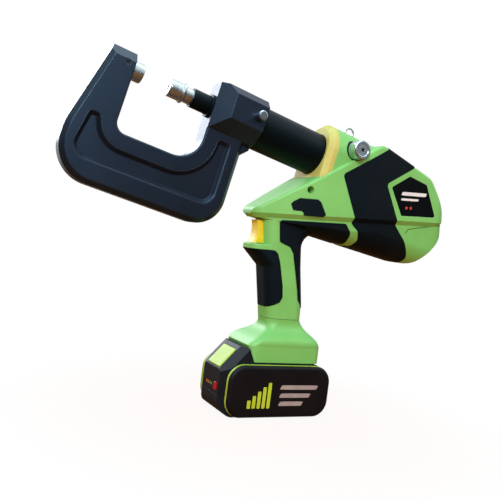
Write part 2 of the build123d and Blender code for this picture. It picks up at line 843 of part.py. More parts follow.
def plan_outline(inset, lift, back=0):
    # Main body from above, square to the ledge and at a height over it, lengthened at the tail
    return outline(ledge_plane.offset(lift),
                   (nose_x - nose_trim, -nose_half_width), (taper_x, -taper_half_width),
                   (taper_end, -body_half_width), (tail_x + back, -body_half_width),
                   (tail_x + back, body_half_width), (taper_end, body_half_width),
                   (taper_x, taper_half_width), (nose_x - nose_trim, nose_half_width),
                   radii=[nose_plan_radius, taper_radius, taper_radius, tail_plan_radius,
                          tail_plan_radius, taper_radius, taper_radius, nose_plan_radius],
                   grow=-inset)


def bevel_rise(inset):
    # Height of the ledge's bevel, which shortens as its three faces move in by the same depth
    return ledge_bevel - inset * (2 - sqrt(2))


def belly_form(inset):
    # Belly below the ledge: narrower than the sides, flush at the tail and round underneath
    half_width = body_half_width - ledge_bevel - inset + belly_trim
    low = inset + belly_trim
    with BuildPart() as form:
        extrude(outline(belly_plane.offset(nose_x - belly_front_x),
                        (-half_width, low), (half_width, low), (half_width, spine_z), (-half_width, spine_z),
                        radii=[belly_round - inset, belly_round - inset, 0, 0]),
                amount=2 * tail_x)
        extrude(side_outline(inset), amount=2 * body_half_width, both=True, mode=Mode.INTERSECT)
        extrude(plan_outline(inset + ledge_bevel, ledge_bevel, back=ledge_bevel), amount=-spine_z,
                mode=Mode.INTERSECT)
    return form.part


def bevel_form(inset):
    # Bevel between the sides and the ledge
    rise = bevel_rise(inset)
    with BuildPart() as form:
        extrude(plan_outline(inset + rise, inset), amount=rise, taper=-bevel_angle)
        extrude(side_outline(inset), amount=2 * body_half_width, both=True, mode=Mode.INTERSECT)
    return form.part


def body_form(inset):
    # Main body: plan outline crossed with side outline and rounded above, then the bevel and the belly
    lift = inset + bevel_rise(inset)
    with BuildPart() as form:
        extrude(plan_outline(inset, lift), amount=spine_z)
        extrude(side_outline(inset), amount=2 * body_half_width, both=True, mode=Mode.INTERSECT)

        def is_upper(edge):
            spots = (edge @ 0, edge @ 0.5, edge @ 1)
            on_ledge = all(abs(ledge_plane.to_local_coords(spot).Z - lift) < near for spot in spots)
            upright = abs((edge % 0.5).dot(ledge_plane.z_dir)) > 1 - near / 10
            return not on_ledge and not upright and abs(edge.center().Y) > shoulder_round

        fillet(form.edges().filter_by(Axis.Y, reverse=True).filter_by(is_upper),
               radius=min(shoulder_round, max(shoulder_round - inset, seat_gap)))
        add(bevel_form(inset))
        add(belly_form(inset))
    return form.part


def hump_form(inset):
    # Arched hump over the cylinder
    radius = hump_radius - inset
    with BuildPart() as form:
        with BuildSketch(across(collar_rear)):
            with Locations((0, hump_rise)):
                Circle(radius)
            with Locations((0, (hump_rise - hump_drop) / 2)):
                Rectangle(2 * radius, hump_rise + hump_drop)
        extrude(amount=hump_end - collar_rear - inset)
        end_face = form.faces().sort_by(along)[-1]
        fillet(end_face.edges().sort_by(above)[1:], radius=min(hump_end_round, hump_end_round - inset))
    return form.part


def handle_form(inset):
    # Raked handle with rounded edges, cut off level at the neck
    half_width = grip_half_width - inset
    top = nose_bottom + handle_overlap
    with BuildPart() as form:
        extrude(outline(Plane.XZ,
                        (pillar_front, top), (grip_front_top, grip_top_z), (grip_front_low, grip_low_z),
                        (grip_front_neck, neck_z), (grip_front_neck, neck_z - grip_round),
                        (grip_back_neck, neck_z - grip_round), (grip_back_neck, neck_z),
                        (grip_back_low, grip_low_z), (grip_back_top, grip_top_z), (web_x, web_z),
                        (belly_front_x + grip_round, belly_front_z), (belly_front_x + grip_round, top),
                        radii=[0, grip_bend, grip_bend, grip_bend / 2, 0, 0, grip_bend / 2,
                               grip_bend, grip_bend, web_radius, 0, 0], grow=-inset),
                amount=half_width, both=True)

        def is_long(edge):
            on_side = abs(abs(edge.center().Y) - half_width) < near
            level = abs((edge @ 1 - edge @ 0).Z) < near
            upright_end = edge.center().X > belly_front_x
            return on_side and not level and not upright_end

        fillet(form.edges().filter_by(is_long), radius=grip_round - inset)
        split(bisect_by=Plane.XY.offset(neck_z), keep=Keep.TOP)
    return form.part


def shelf_form(inset):
    # Finger shelf below the trigger: a flat lip over a flare that runs out into the front of the handle
    lip_low = shelf_top - shelf_edge
    with BuildPart() as form:
        for z, front, half_width, corner in (
            (flare_z, grip_front_top + flare_sink, grip_half_width - flare_sink, grip_round),
            (lip_low, shelf_tip, shelf_half_width, shelf_corner),
        ):
            with BuildSketch(Plane(origin=((front + shelf_root) / 2, 0, z))):
                RectangleRounded(shelf_root - front - 2 * inset, 2 * (half_width - inset), corner - inset)
        loft()
        extrude(slab(Plane.XY.offset(lip_low), (shelf_tip + shelf_root) / 2, 0,
                     shelf_root - shelf_tip - 2 * inset, 2 * (shelf_half_width - inset),
                     corner=shelf_corner - inset),
                amount=shelf_edge - inset)
        fillet(form.faces().sort_by(Axis.Z)[-1].edges(), radius=shelf_lip_round)
    return form.part


def shell_form(inset):
    # Whole outside of the housing, with its solid shelf left off where only the inside is wanted
    with BuildPart() as form:
        add(body_form(inset))
        add(hump_form(inset))
        add(handle_form(inset))
        if inset < wall:
            add(shelf_form(inset))
    return form.part


# Rubber is moulded into shallow recesses of the housing and stands a little proud
with BuildPart() as rubber_skin:
    add(shell_form(-rubber_proud))
    add(shell_form(rubber_depth), mode=Mode.SUBTRACT)


def rubber_piece(side, points, radius):
    # The part of the rubber on one side that lies within an outline
    with BuildPart() as piece:
        add(rubber_skin.part)
        extrude(outline(Plane.XZ, *points, radii=[radius] * len(points)),
                amount=-side * 2 * body_half_width, mode=Mode.INTERSECT)
    return piece.part


side_panels = [rubber_piece(side, side_panel_outline, side_panel_corner) for side in (-1, 1)]
belly_grips = [rubber_piece(side, belly_grip_outline, grip_corner) for side in (-1, 1)]
front_grips = [rubber_piece(side, front_grip_outline, grip_corner) for side in (-1, 1)]
for pair, name in ((side_panels, "side_panel"), (belly_grips, "belly_grip"), (front_grips, "front_grip")):
    save(pair[0], f"{name}_left")
    save(pair[1], f"{name}_right")

# Yellow collar round the cylinder, let into the front of the housing
with BuildPart() as front_collar:
    with BuildSketch(across(collar_front)):
        with Locations((0, hump_rise)):
            Circle(hump_radius)
        with Locations((0, (hump_rise - collar_drop) / 2)):
            Rectangle(2 * hump_radius, hump_rise + collar_drop)
    extrude(amount=collar_length)
    collar_edges = front_collar.faces().sort_by(along)[0].edges().sort_by(above)[1:]
    chamfer(collar_edges, collar_bevel)
    extrude(disc(across(collar_front), 0, 0, barrel_radius + seat_gap),
            amount=collar_length, mode=Mode.SUBTRACT)
save(front_collar.part, "front_collar")

# Eye for the hanger ring, rooted in the right half of the hump
with BuildPart() as hanger_lug:
    with BuildSketch(across(ring_place - lug_thickness / 2)):
        with Locations((ring_side, ring_eye)):
            Circle(lug_half_width)
        with Locations((ring_side, ring_eye - lug_sink / 2)):
            Rectangle(2 * lug_half_width, lug_sink)
        with Locations((ring_side, ring_eye)):
            Circle(ring_wire + free_gap, mode=Mode.SUBTRACT)
    extrude(amount=lug_thickness)
save(hanger_lug.part, "hanger_lug")

with BuildPart() as hanger_ring:
    with BuildSketch(across(ring_place)):
        with Locations((ring_side, ring_eye)):
            Circle(ring_wire)
    ring_middle = ram_plane.from_local_coords((ring_place, ring_eye + ring_radius, -ring_side))
    revolve(axis=Axis(ring_middle, (0, 1, 0)))
save(hanger_ring.part, "hanger_ring")

# Relief valve knob, in a liner that ends flush with the hump
with BuildPart() as knob_liner:
    liner_plane = ram_plane.offset(pump_half_width)
    extrude(disc(liner_plane, knob_place, knob_rise, liner_radius), amount=body_half_width)
    extrude(disc(liner_plane, knob_place, knob_rise, liner_radius - liner_wall), amount=body_half_width,
            mode=Mode.SUBTRACT)
    add(hump_form(0), mode=Mode.INTERSECT)
save(knob_liner.part, "knob_liner")

with BuildPart() as valve_knob:
    stem_end = pump_half_width - knob_stem_length + seat_gap
    extrude(disc(ram_plane.offset(stem_end), knob_place, knob_rise, knob_stem_radius),
            amount=knob_reach - knob_depth - stem_end)
    extrude(disc(ram_plane.offset(knob_reach), knob_place, knob_rise, knob_radius), amount=-knob_depth)
    chamfer(valve_knob.faces().sort_by(Axis.Y)[0].edges(), knob_edge)
    extrude(disc(ram_plane.offset(knob_reach), knob_place, knob_rise, knob_pin_hole),
            amount=-knob_stem_radius, mode=Mode.SUBTRACT)
save(valve_knob.part, "valve_knob")

# Trigger with its hollow front, and the stem that works the switch
trigger_middle = (trigger_top + trigger_bottom) / 2
trigger_plane = Plane(origin=(trigger_back, 0, trigger_middle), x_dir=(0, 1, 0), z_dir=(1, 0, 0))
with BuildPart() as trigger:
    with BuildSketch(Plane.XZ):
        with BuildLine():
            hollow_x = (trigger_top_x + trigger_low_x) / 2 + trigger_hollow
            ThreePointArc((trigger_low_x, trigger_bottom), (hollow_x, trigger_middle),
                          (trigger_top_x, trigger_top))
            Polyline((trigger_top_x, trigger_top), (trigger_back, trigger_top),
                     (trigger_back, trigger_bottom), (trigger_low_x, trigger_bottom))
        make_face()
    extrude(amount=trigger_half_width, both=True)
    fillet(trigger.edges().filter_by(GeomType.CIRCLE), radius=trigger_edge)
    extrude(disc(trigger_plane, 0, 0, trigger_stem_radius), amount=trigger_stem_length)
save(trigger.part, "trigger")

with BuildPart() as trigger_switch:
    extrude(slab(Plane.XZ, switch_front + switch_length / 2, switch_bottom + switch_height / 2,
                 switch_length, switch_height, corner=trigger_edge),
            amount=switch_half_width, both=True)
    switch_hole = trigger_back + trigger_stem_length + trigger_travel + seat_gap - switch_front
    extrude(disc(trigger_plane.offset(switch_front - trigger_back), 0, 0, trigger_stem_radius + free_gap),
            amount=switch_hole, mode=Mode.SUBTRACT)
save(trigger_switch.part, "trigger_switch")

with BuildPart() as release_button:
    extrude(outline(at_y(Plane.XZ, -button_inner), *button_outline), amount=body_half_width)
    extrude(plan_outline(-button_proud, 0), amount=spine_z, mode=Mode.INTERSECT)
save(release_button.part, "release_button")

with BuildPart() as label_plate:
    extrude(outline(at_y(Plane.XZ, plate_depth - body_half_width), *label_outline,
                    radii=[label_corner] * len(label_outline)),
            amount=plate_depth)
save(label_plate.part, "label_plate")

# Housing: the shell less its inside and every opening, then split on the middle plane
with BuildPart() as inside:
    add(shell_form(wall))
    for x, z, side in screw_places:
        extrude(disc(Plane.XZ, x, z, boss_radius), amount=2 * body_half_width, both=True, mode=Mode.SUBTRACT)

with BuildPart() as housing:
    add(shell_form(0))
    add(inside.part, mode=Mode.SUBTRACT)
    for piece in side_panels + belly_grips + front_grips:
        add(piece, mode=Mode.SUBTRACT)
    add(hanger_lug.part, mode=Mode.SUBTRACT)
    add(label_plate.part, mode=Mode.SUBTRACT)
    extrude(disc(across(block_rear), 0, 0, barrel_radius + free_gap), amount=barrel_rear - block_rear,
            mode=Mode.SUBTRACT)
    with BuildSketch(across(collar_front - seat_gap)):
        with Locations((0, hump_rise)):
            Circle(hump_radius)
        with Locations((0, (hump_rise - collar_drop) / 2)):
            Rectangle(2 * hump_radius, hump_rise + collar_drop)
    extrude(amount=collar_length + seat_gap, mode=Mode.SUBTRACT)
    extrude(disc(liner_plane, knob_place, knob_rise, liner_radius), amount=body_half_width,
            mode=Mode.SUBTRACT)
    extrude(outline(at_y(Plane.XZ, -button_inner), *button_outline, grow=seat_gap),
            amount=body_half_width, mode=Mode.SUBTRACT)
    slot_back = trigger_back + trigger_travel + seat_gap
    extrude(slab(Plane.XZ, (shelf_tip + slot_back) / 2, trigger_middle,
                 slot_back - shelf_tip, trigger_top - trigger_bottom + 2 * free_gap),
            amount=trigger_half_width + free_gap, both=True, mode=Mode.SUBTRACT)
    for x, z, side in screw_places:
        seat_plane = Plane(origin=(x, side * screw_seat, z), x_dir=(1, 0, 0), z_dir=(0, side, 0))
        extrude(disc(seat_plane, 0, 0, screw_head_radius + seat_gap),
                amount=body_half_width, mode=Mode.SUBTRACT)
        extrude(disc(seat_plane, 0, 0, screw_radius), amount=-screw_length, mode=Mode.SUBTRACT)

for half, name in ((Keep.TOP, "housing_left"), (Keep.BOTTOM, "housing_right")):
    with BuildPart() as housing_half:
        add(housing.part)
        split(bisect_by=Plane.XZ, keep=half)
    save(housing_half.part, name)

with BuildPart() as housing_screws:
    for x, z, side in screw_places:
        seat_plane = Plane(origin=(x, side * screw_seat, z), x_dir=(1, 0, 0), z_dir=(0, side, 0))
        extrude(disc(seat_plane, 0, 0, screw_head_radius), amount=screw_head_height)
        extrude(disc(seat_plane, 0, 0, screw_radius), amount=-screw_length)
        extrude(disc(seat_plane.offset(screw_head_height), 0, 0, screw_socket), amount=-screw_head_height / 2,
                mode=Mode.SUBTRACT)
save(housing_screws.part, "housing_screws")

# Foot: flares from the neck to the battery rails
with BuildPart() as foot:
    for z, front, rear, half_width, corner in (
        (neck_z - seam_gap, grip_front_neck, grip_back_neck, grip_half_width, grip_round),
        (waist_z, waist_front, waist_rear, waist_half_width, foot_corner),
        (shoulder_z, shoulder_front, shoulder_rear, shoulder_half_width, foot_corner),
        (foot_step, foot_front, foot_rear, foot_half_width, foot_corner),
    ):
        with BuildSketch(Plane(origin=((front + rear) / 2, 0, z))):
            RectangleRounded(rear - front, 2 * half_width, corner)
    loft()
    extrude(slab(Plane.XY.offset(foot_bottom), (foot_front + foot_rear) / 2, 0, foot_rear - foot_front,
                 2 * foot_half_width, corner=foot_corner),
            amount=foot_step - foot_bottom)
    extrude(outline(Plane.XZ, (foot_front, foot_step), (foot_front + foot_rake, foot_bottom),
                    (foot_front, foot_bottom)),
            amount=2 * foot_half_width, both=True, mode=Mode.SUBTRACT)
    slot_lip = rail_top - rail_lip - seat_gap
    slot_roof = rail_top + seat_gap
    slot_neck = rail_neck + seat_gap
    slot_half_width = rail_half_width + seat_gap
    extrude(outline(Plane.YZ.offset(foot_front),
                    (-slot_neck, foot_bottom - overcut), (slot_neck, foot_bottom - overcut),
                    (slot_neck, slot_lip), (slot_half_width, slot_lip), (slot_half_width, slot_roof),
                    (-slot_half_width, slot_roof), (-slot_half_width, slot_lip), (-slot_neck, slot_lip)),
            amount=rail_end + seat_gap - foot_front, mode=Mode.SUBTRACT)
    well_middle = foot_well_front + foot_well_length / 2
    extrude(slab(Plane.XY.offset(foot_bottom), well_middle, 0, foot_well_length, 2 * foot_well_half_width),
            amount=neck_z - foot_bottom, mode=Mode.SUBTRACT)
save(foot.part, "foot")

with BuildPart() as terminal_block:
    terminal_top = terminal_bottom + terminal_height
    extrude(slab(Plane.XY.offset(terminal_bottom), well_middle, 0, terminal_length,
                 2 * (foot_well_half_width - seat_gap)),
            amount=terminal_height)
    with BuildSketch(Plane.XY.offset(terminal_bottom)):
        with Locations((well_middle, 0)):
            with GridLocations(1, contact_pitch, 1, contact_count):
                Rectangle(contact_length, contact_width)
    extrude(amount=terminal_height / 2, mode=Mode.SUBTRACT)
save(terminal_block.part, "terminal_block")

with BuildPart() as control_board:
    extrude(slab(Plane.XY.offset(terminal_top), well_middle, 0, board_length,
                 2 * (foot_well_half_width - seat_gap)),
            amount=board_thickness)
    extrude(disc(Plane.XY.offset(terminal_top + board_thickness), well_middle, 0, capacitor_radius),
            amount=capacitor_height)
save(control_board.part, "control_board")


# Battery: a two-part case with its rails, closed at the sides by plates in lime trims
def head_back(z):
    # Rear of the pack's raised front, just clear of the foot's leading edge
    return foot_front + foot_rake * (foot_step - z) / (foot_step - foot_bottom) - head_gap


slope = Vector(head_x - pack_front, 0, head_z - slope_low_z)
slope_middle = Vector(pack_front, 0, slope_low_z) + slope * 0.5
slope_plane = Plane(origin=slope_middle, x_dir=slope, z_dir=(-slope.Z, 0, slope.X))
crown_plane = Plane(origin=slope_middle, x_dir=(0, 1, 0), z_dir=slope)
front_plane = Plane(origin=(pack_front, 0, 0), x_dir=(0, -1, 0), z_dir=(-1, 0, 0))

with BuildPart() as charge_lights:
    with BuildSketch(front_plane):
        with Locations((-light_y, charge_z)):
            with GridLocations(light_pitch, 1, light_count, 1):
                Rectangle(light_size, light_size)
    extrude(amount=-light_depth)
save(charge_lights.part, "charge_lights")

with BuildPart() as pack:
    extrude(outline(Plane.XZ,
                    (pack_front, 0), (pack_front, slope_low_z), (head_x, head_z), (head_back(head_z), head_z),
                    (head_back(deck_z), deck_z), (pack_rear, deck_z), (pack_rear, 0),
                    radii=[pack_toe_radius, head_edge, head_edge / 2, 0, 0,
                           pack_heel_top_radius, pack_heel_radius]),
            amount=pack_half_width, both=True)
    extrude(outline(Plane.XY,
                    (pack_front, -pack_front_half_width), (pack_front + pack_corner_run, -pack_half_width),
                    (pack_rear, -pack_half_width), (pack_rear, pack_half_width),
                    (pack_front + pack_corner_run, pack_half_width), (pack_front, pack_front_half_width),
                    radii=[pack_corner_run / 2, pack_corner_run, 0, 0, pack_corner_run, pack_corner_run / 2]),
            amount=2 * head_z, mode=Mode.INTERSECT)
    crown_half_width = pack_half_width + overcut
    crown_depth = 2 * (pack_rear - pack_front)
    extrude(outline(crown_plane,
                    (-crown_half_width, -crown_depth), (crown_half_width, -crown_depth),
                    (crown_half_width, -slope_drop), (slope_flat, 0), (-slope_flat, 0),
                    (-crown_half_width, -slope_drop)),
            amount=crown_depth, both=True, mode=Mode.INTERSECT)
    for side in (-1, 1):
        extrude(outline(Plane.YZ.offset(head_x),
                        (side * rail_inner, deck_z), (side * rail_inner, rail_top),
                        (side * rail_half_width, rail_top), (side * rail_half_width, rail_top - rail_lip),
                        (side * rail_neck, rail_top - rail_lip), (side * rail_neck, deck_z)),
                amount=rail_end - head_x)
    row_rise = cell_pitch * sqrt(3) / 2
    bay_high = row_rise + 2 * (cell_radius + cell_wall)
    extrude(slab(Plane.XZ, cell_shift, cell_lift + row_rise / 2, cell_length + 2 * seat_gap, bay_high),
            amount=2 * pack_half_width, both=True, mode=Mode.SUBTRACT)
    latch_hole = slab(slope_plane, latch_shift, 0, latch_length, 2 * latch_half_width,
                      corner=latch_corner, grow=seat_gap)
    extrude(latch_hole, amount=-latch_thickness - latch_travel - seat_gap, mode=Mode.SUBTRACT)
    extrude(latch_hole, amount=latch_thickness, mode=Mode.SUBTRACT)
    extrude(slab(front_plane, -charge_y, charge_z, charge_width, charge_height,
                 corner=charge_corner, grow=seat_gap),
            amount=-charge_depth - charge_travel - seat_gap, mode=Mode.SUBTRACT)
    add(charge_lights.part, mode=Mode.SUBTRACT)

for part_of_pack, name in ((Keep.BOTTOM, "battery_base"), (Keep.TOP, "battery_cover")):
    with BuildPart() as case_part:
        add(pack.part)
        split(bisect_by=Plane.XY.offset(pack_seam_z), keep=part_of_pack)
    save(case_part.part, name)

for side, name in ((-1, "left"), (1, "right")):
    flank = at_y(Plane.XZ, side * pack_half_width)
    plate_z = plate_lift + plate_height / 2
    trim_outline = slab(flank, plate_shift, plate_z, 2 * plate_half_length, plate_height, corner=plate_corner)
    plate_outline = slab(flank, plate_shift, plate_z, 2 * plate_half_length, plate_height,
                         corner=plate_corner, grow=-trim_width)
    crown_outline = slab(at_y(Plane.XZ, side * (pack_half_width + trim_thickness)), plate_shift, plate_z,
                         2 * plate_half_length, plate_height, corner=plate_corner, grow=-plate_step)
    with BuildPart() as battery_plate:
        extrude(plate_outline, amount=-side * trim_thickness)
        extrude(crown_outline, amount=-side * plate_rise)
        outer_face = battery_plate.faces().sort_by(Axis((0, 0, 0), (0, side, 0)))[-1]
        fillet(outer_face.edges(), radius=plate_edge)
    save(battery_plate.part, f"battery_plate_{name}")
    with BuildPart() as battery_trim:
        extrude(trim_outline, amount=-side * trim_thickness)
        extrude(plate_outline, amount=-side * trim_thickness, mode=Mode.SUBTRACT)
    save(battery_trim.part, f"battery_trim_{name}")

with BuildPart() as battery_cells:
    with BuildSketch(Plane.YZ.offset(cell_shift - cell_length / 2)):
        for row, count in enumerate(cell_rows):
            with Locations((0, cell_lift + row * row_rise)):
                with GridLocations(cell_pitch, 1, count, 1):
                    Circle(cell_radius)
    extrude(amount=cell_length)
save(battery_cells.part, "battery_cells")

with BuildPart() as battery_terminals:
    with BuildSketch(Plane.XY.offset(deck_z)):
        with Locations((well_middle, 0)):
            with GridLocations(1, contact_pitch, 1, contact_count):
                Rectangle(contact_length, contact_width)
    extrude(amount=contact_thickness)
save(battery_terminals.part, "battery_terminals")

with BuildPart() as battery_latch:
    extrude(slab(slope_plane.offset(-latch_thickness), latch_shift, 0, latch_length, 2 * latch_half_width,
                 corner=latch_corner),
            amount=latch_thickness + latch_proud)
    fillet(battery_latch.faces().sort_by(Axis((0, 0, 0), slope_plane.z_dir))[-1].edges(), radius=latch_edge)
save(battery_latch.part, "battery_latch")

with BuildPart() as charge_button:
    extrude(slab(front_plane.offset(-charge_depth), -charge_y, charge_z, charge_width, charge_height,
                 corner=charge_corner),
            amount=charge_depth + charge_proud)
    fillet(charge_button.faces().sort_by(Axis.X)[0].edges(), radius=charge_proud / 2)
save(charge_button.part, "charge_button")
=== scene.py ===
import bpy
import numpy as np
from mathutils import Matrix, Vector


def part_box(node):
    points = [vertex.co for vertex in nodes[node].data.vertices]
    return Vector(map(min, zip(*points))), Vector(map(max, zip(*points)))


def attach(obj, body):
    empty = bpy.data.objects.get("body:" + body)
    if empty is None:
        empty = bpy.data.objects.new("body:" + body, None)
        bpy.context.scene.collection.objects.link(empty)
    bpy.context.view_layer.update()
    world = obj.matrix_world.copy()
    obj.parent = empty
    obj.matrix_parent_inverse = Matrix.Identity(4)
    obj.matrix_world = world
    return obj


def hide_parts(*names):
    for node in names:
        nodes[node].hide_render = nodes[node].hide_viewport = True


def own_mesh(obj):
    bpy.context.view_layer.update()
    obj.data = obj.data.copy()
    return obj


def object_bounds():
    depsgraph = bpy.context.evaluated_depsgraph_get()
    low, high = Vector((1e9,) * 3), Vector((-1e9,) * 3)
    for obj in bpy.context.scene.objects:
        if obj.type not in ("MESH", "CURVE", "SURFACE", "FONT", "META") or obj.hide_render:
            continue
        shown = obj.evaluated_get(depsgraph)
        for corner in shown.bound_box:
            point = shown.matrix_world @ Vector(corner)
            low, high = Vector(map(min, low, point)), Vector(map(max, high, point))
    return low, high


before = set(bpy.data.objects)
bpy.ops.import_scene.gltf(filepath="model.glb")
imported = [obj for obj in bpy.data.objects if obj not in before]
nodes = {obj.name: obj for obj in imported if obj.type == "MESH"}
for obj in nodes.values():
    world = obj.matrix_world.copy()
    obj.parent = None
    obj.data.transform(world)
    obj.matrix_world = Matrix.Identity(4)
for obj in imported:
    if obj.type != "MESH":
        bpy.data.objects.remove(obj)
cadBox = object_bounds()
scene = bpy.context.scene
scene.view_settings.view_transform = "Standard"
mm = 0.001
print("frame loaded:", len(nodes), "nodes")


def hexColour(code):
    # sRGB hex to linear RGBA
    parts = [int(code[i:i + 2], 16) / 255 for i in (1, 3, 5)]
    return [p / 12.92 if p <= 0.04045 else ((p + 0.055) / 1.055) ** 2.4 for p in parts] + [1.0]


def addNode(tree, kind, values=(), links=(), **settings):
    # one node with its settings, socket values and incoming links
    node = tree.nodes.new(kind)
    for key, value in settings.items():
        setattr(node, key, value)
    for socket, value in dict(values).items():
        node.inputs[socket].default_value = value
    for socket, source in dict(links).items():
        tree.links.new(source, node.inputs[socket])
    return node


def clearTree(owner):
    # the emptied node tree of a material or of the world
    owner.use_nodes = True
    owner.node_tree.nodes.clear()
    return owner.node_tree


def newMaterial(name):
    # a material with one shader, wired to its output
    material = bpy.data.materials.new(name)
    tree = clearTree(material)
    shader = addNode(tree, "ShaderNodeBsdfPrincipled")
    addNode(tree, "ShaderNodeOutputMaterial", links={"Surface": shader.outputs[0]})
    return material, tree, shader


toneSpread = (0.3, 0.7)  # where the cloud noise reaches the dark and the light tone
# The paler edge that these turns set is partly wear and partly a painted highlight
edgeTurn = (0.99, 0.75)  # how far an edge turns, as a cosine, where its rubbing starts and is full


def grained(name, look):
    # Moulded, forged or printed surface: clouded colour, uneven gloss and fine grain, with its edges rounded
    # and made paler where the rounded normal leaves the flat one, at convex and concave edges alike: partly
    # wear, partly a painted highlight along the edges
    material, tree, shader = newMaterial(name)
    spot = addNode(tree, "ShaderNodeTexCoord").outputs["Object"]
    cloud = addNode(tree, "ShaderNodeTexNoise", {"Scale": 1 / (look["cloud"] * mm), "Detail": 3},
                    {"Vector": spot})
    grain = addNode(tree, "ShaderNodeTexNoise", {"Scale": 1 / (look["grain"] * mm), "Detail": 2},
                    {"Vector": spot})
    tone = addNode(tree, "ShaderNodeValToRGB", links={"Fac": cloud.outputs["Fac"]})
    tones = (look["dark"], look["light"])
    for element, position, colour in zip(tone.color_ramp.elements, toneSpread, tones):
        element.position = position
        element.color = hexColour(colour)
    edge = addNode(tree, "ShaderNodeBevel", {"Radius": look["edge"] * mm}, samples=4)
    flat = addNode(tree, "ShaderNodeNewGeometry")
    facing = addNode(tree, "ShaderNodeVectorMath", links={0: edge.outputs[0], 1: flat.outputs["Normal"]},
                     operation="DOT_PRODUCT")
    # Paler colour on turning edges: partly wear, partly a painted highlight
    wearAndHighlight = addNode(tree, "ShaderNodeMapRange", {"From Min": edgeTurn[0], "From Max": edgeTurn[1],
                                               "To Min": 0.0, "To Max": look["wearAndHighlight"]},
                  {"Value": facing.outputs["Value"]})
    colour = addNode(tree, "ShaderNodeMix", {7: hexColour(look["wearAndHighlightColour"])},
                     {0: wearAndHighlight.outputs[0], 6: tone.outputs[0]}, data_type="RGBA")
    rough = addNode(tree, "ShaderNodeMapRange", {"To Min": look["rough"][0], "To Max": look["rough"][1]},
                    {"Value": grain.outputs["Fac"]})
    bump = addNode(tree, "ShaderNodeBump", {"Strength": look["bite"], "Distance": look["depth"] * mm},
                   {"Height": grain.outputs["Fac"], "Normal": edge.outputs[0]})
    tree.links.new(colour.outputs[2], shader.inputs["Base Color"])
    tree.links.new(rough.outputs[0], shader.inputs["Roughness"])
    tree.links.new(bump.outputs[0], shader.inputs["Normal"])
    shader.inputs["Specular IOR Level"].default_value = look["gloss"]
    # Specular Tint colours every reflection: the cool tints are a painted cool reflection
    shader.inputs["Specular Tint"].default_value = hexColour(look.get("sheen", "#FFFFFF"))
    return material


def turned(name, look):
    # Turned metal: the tool marks run round the piece's line, so they vary along it and outwards from it
    material, tree, shader = newMaterial(name)
    spot = addNode(tree, "ShaderNodeTexCoord").outputs["Object"]
    arm = addNode(tree, "ShaderNodeVectorMath", {1: [c * mm for c in look["centre"]]}, {0: spot},
                  operation="SUBTRACT")
    along = addNode(tree, "ShaderNodeVectorMath", {1: look["axis"]}, {0: arm.outputs[0]},
                    operation="DOT_PRODUCT")
    side = addNode(tree, "ShaderNodeVectorMath", {1: look["axis"]}, {0: arm.outputs[0]},
                   operation="CROSS_PRODUCT")
    out = addNode(tree, "ShaderNodeVectorMath", links={0: side.outputs[0]}, operation="LENGTH")
    lathe = addNode(tree, "ShaderNodeMath", links={0: along.outputs["Value"], 1: out.outputs["Value"]},
                    operation="ADD")
    marks = addNode(tree, "ShaderNodeTexNoise", {"Scale": 1 / (look["pitch"] * mm), "Detail": 3},
                    {"W": lathe.outputs[0]}, noise_dimensions="1D")
    cloud = addNode(tree, "ShaderNodeTexNoise", {"Scale": 1 / (look["cloud"] * mm), "Detail": 2},
                    {"Vector": spot})
    tone = addNode(tree, "ShaderNodeValToRGB", links={"Fac": cloud.outputs["Fac"]})
    tones = (look["dark"], look["light"])
    for element, position, colour in zip(tone.color_ramp.elements, toneSpread, tones):
        element.position = position
        element.color = hexColour(colour)
    rough = addNode(tree, "ShaderNodeMapRange", {"To Min": look["rough"][0], "To Max": look["rough"][1]},
                    {"Value": marks.outputs["Fac"]})
    edge = addNode(tree, "ShaderNodeBevel", {"Radius": look["edge"] * mm}, samples=4)
    bump = addNode(tree, "ShaderNodeBump", {"Strength": look["bite"], "Distance": look["depth"] * mm},
                   {"Height": marks.outputs["Fac"], "Normal": edge.outputs[0]})
    tree.links.new(tone.outputs[0], shader.inputs["Base Color"])
    tree.links.new(rough.outputs[0], shader.inputs["Roughness"])
    tree.links.new(bump.outputs[0], shader.inputs["Normal"])
    shader.inputs["Metallic"].default_value = 1.0
    return material


# Lines that the turned pieces were cut round: a direction and a point in millimetres
ramLine = {"axis": (0.9794, 0.0, -0.20193), "centre": (0, 0, 276.6)}
pinLine = {"axis": (0.0, 1.0, 0.0), "centre": (-57, 0, 288)}
knobLine = {"axis": (0.0, 1.0, 0.0), "centre": (59.53, 0, 278.11)}

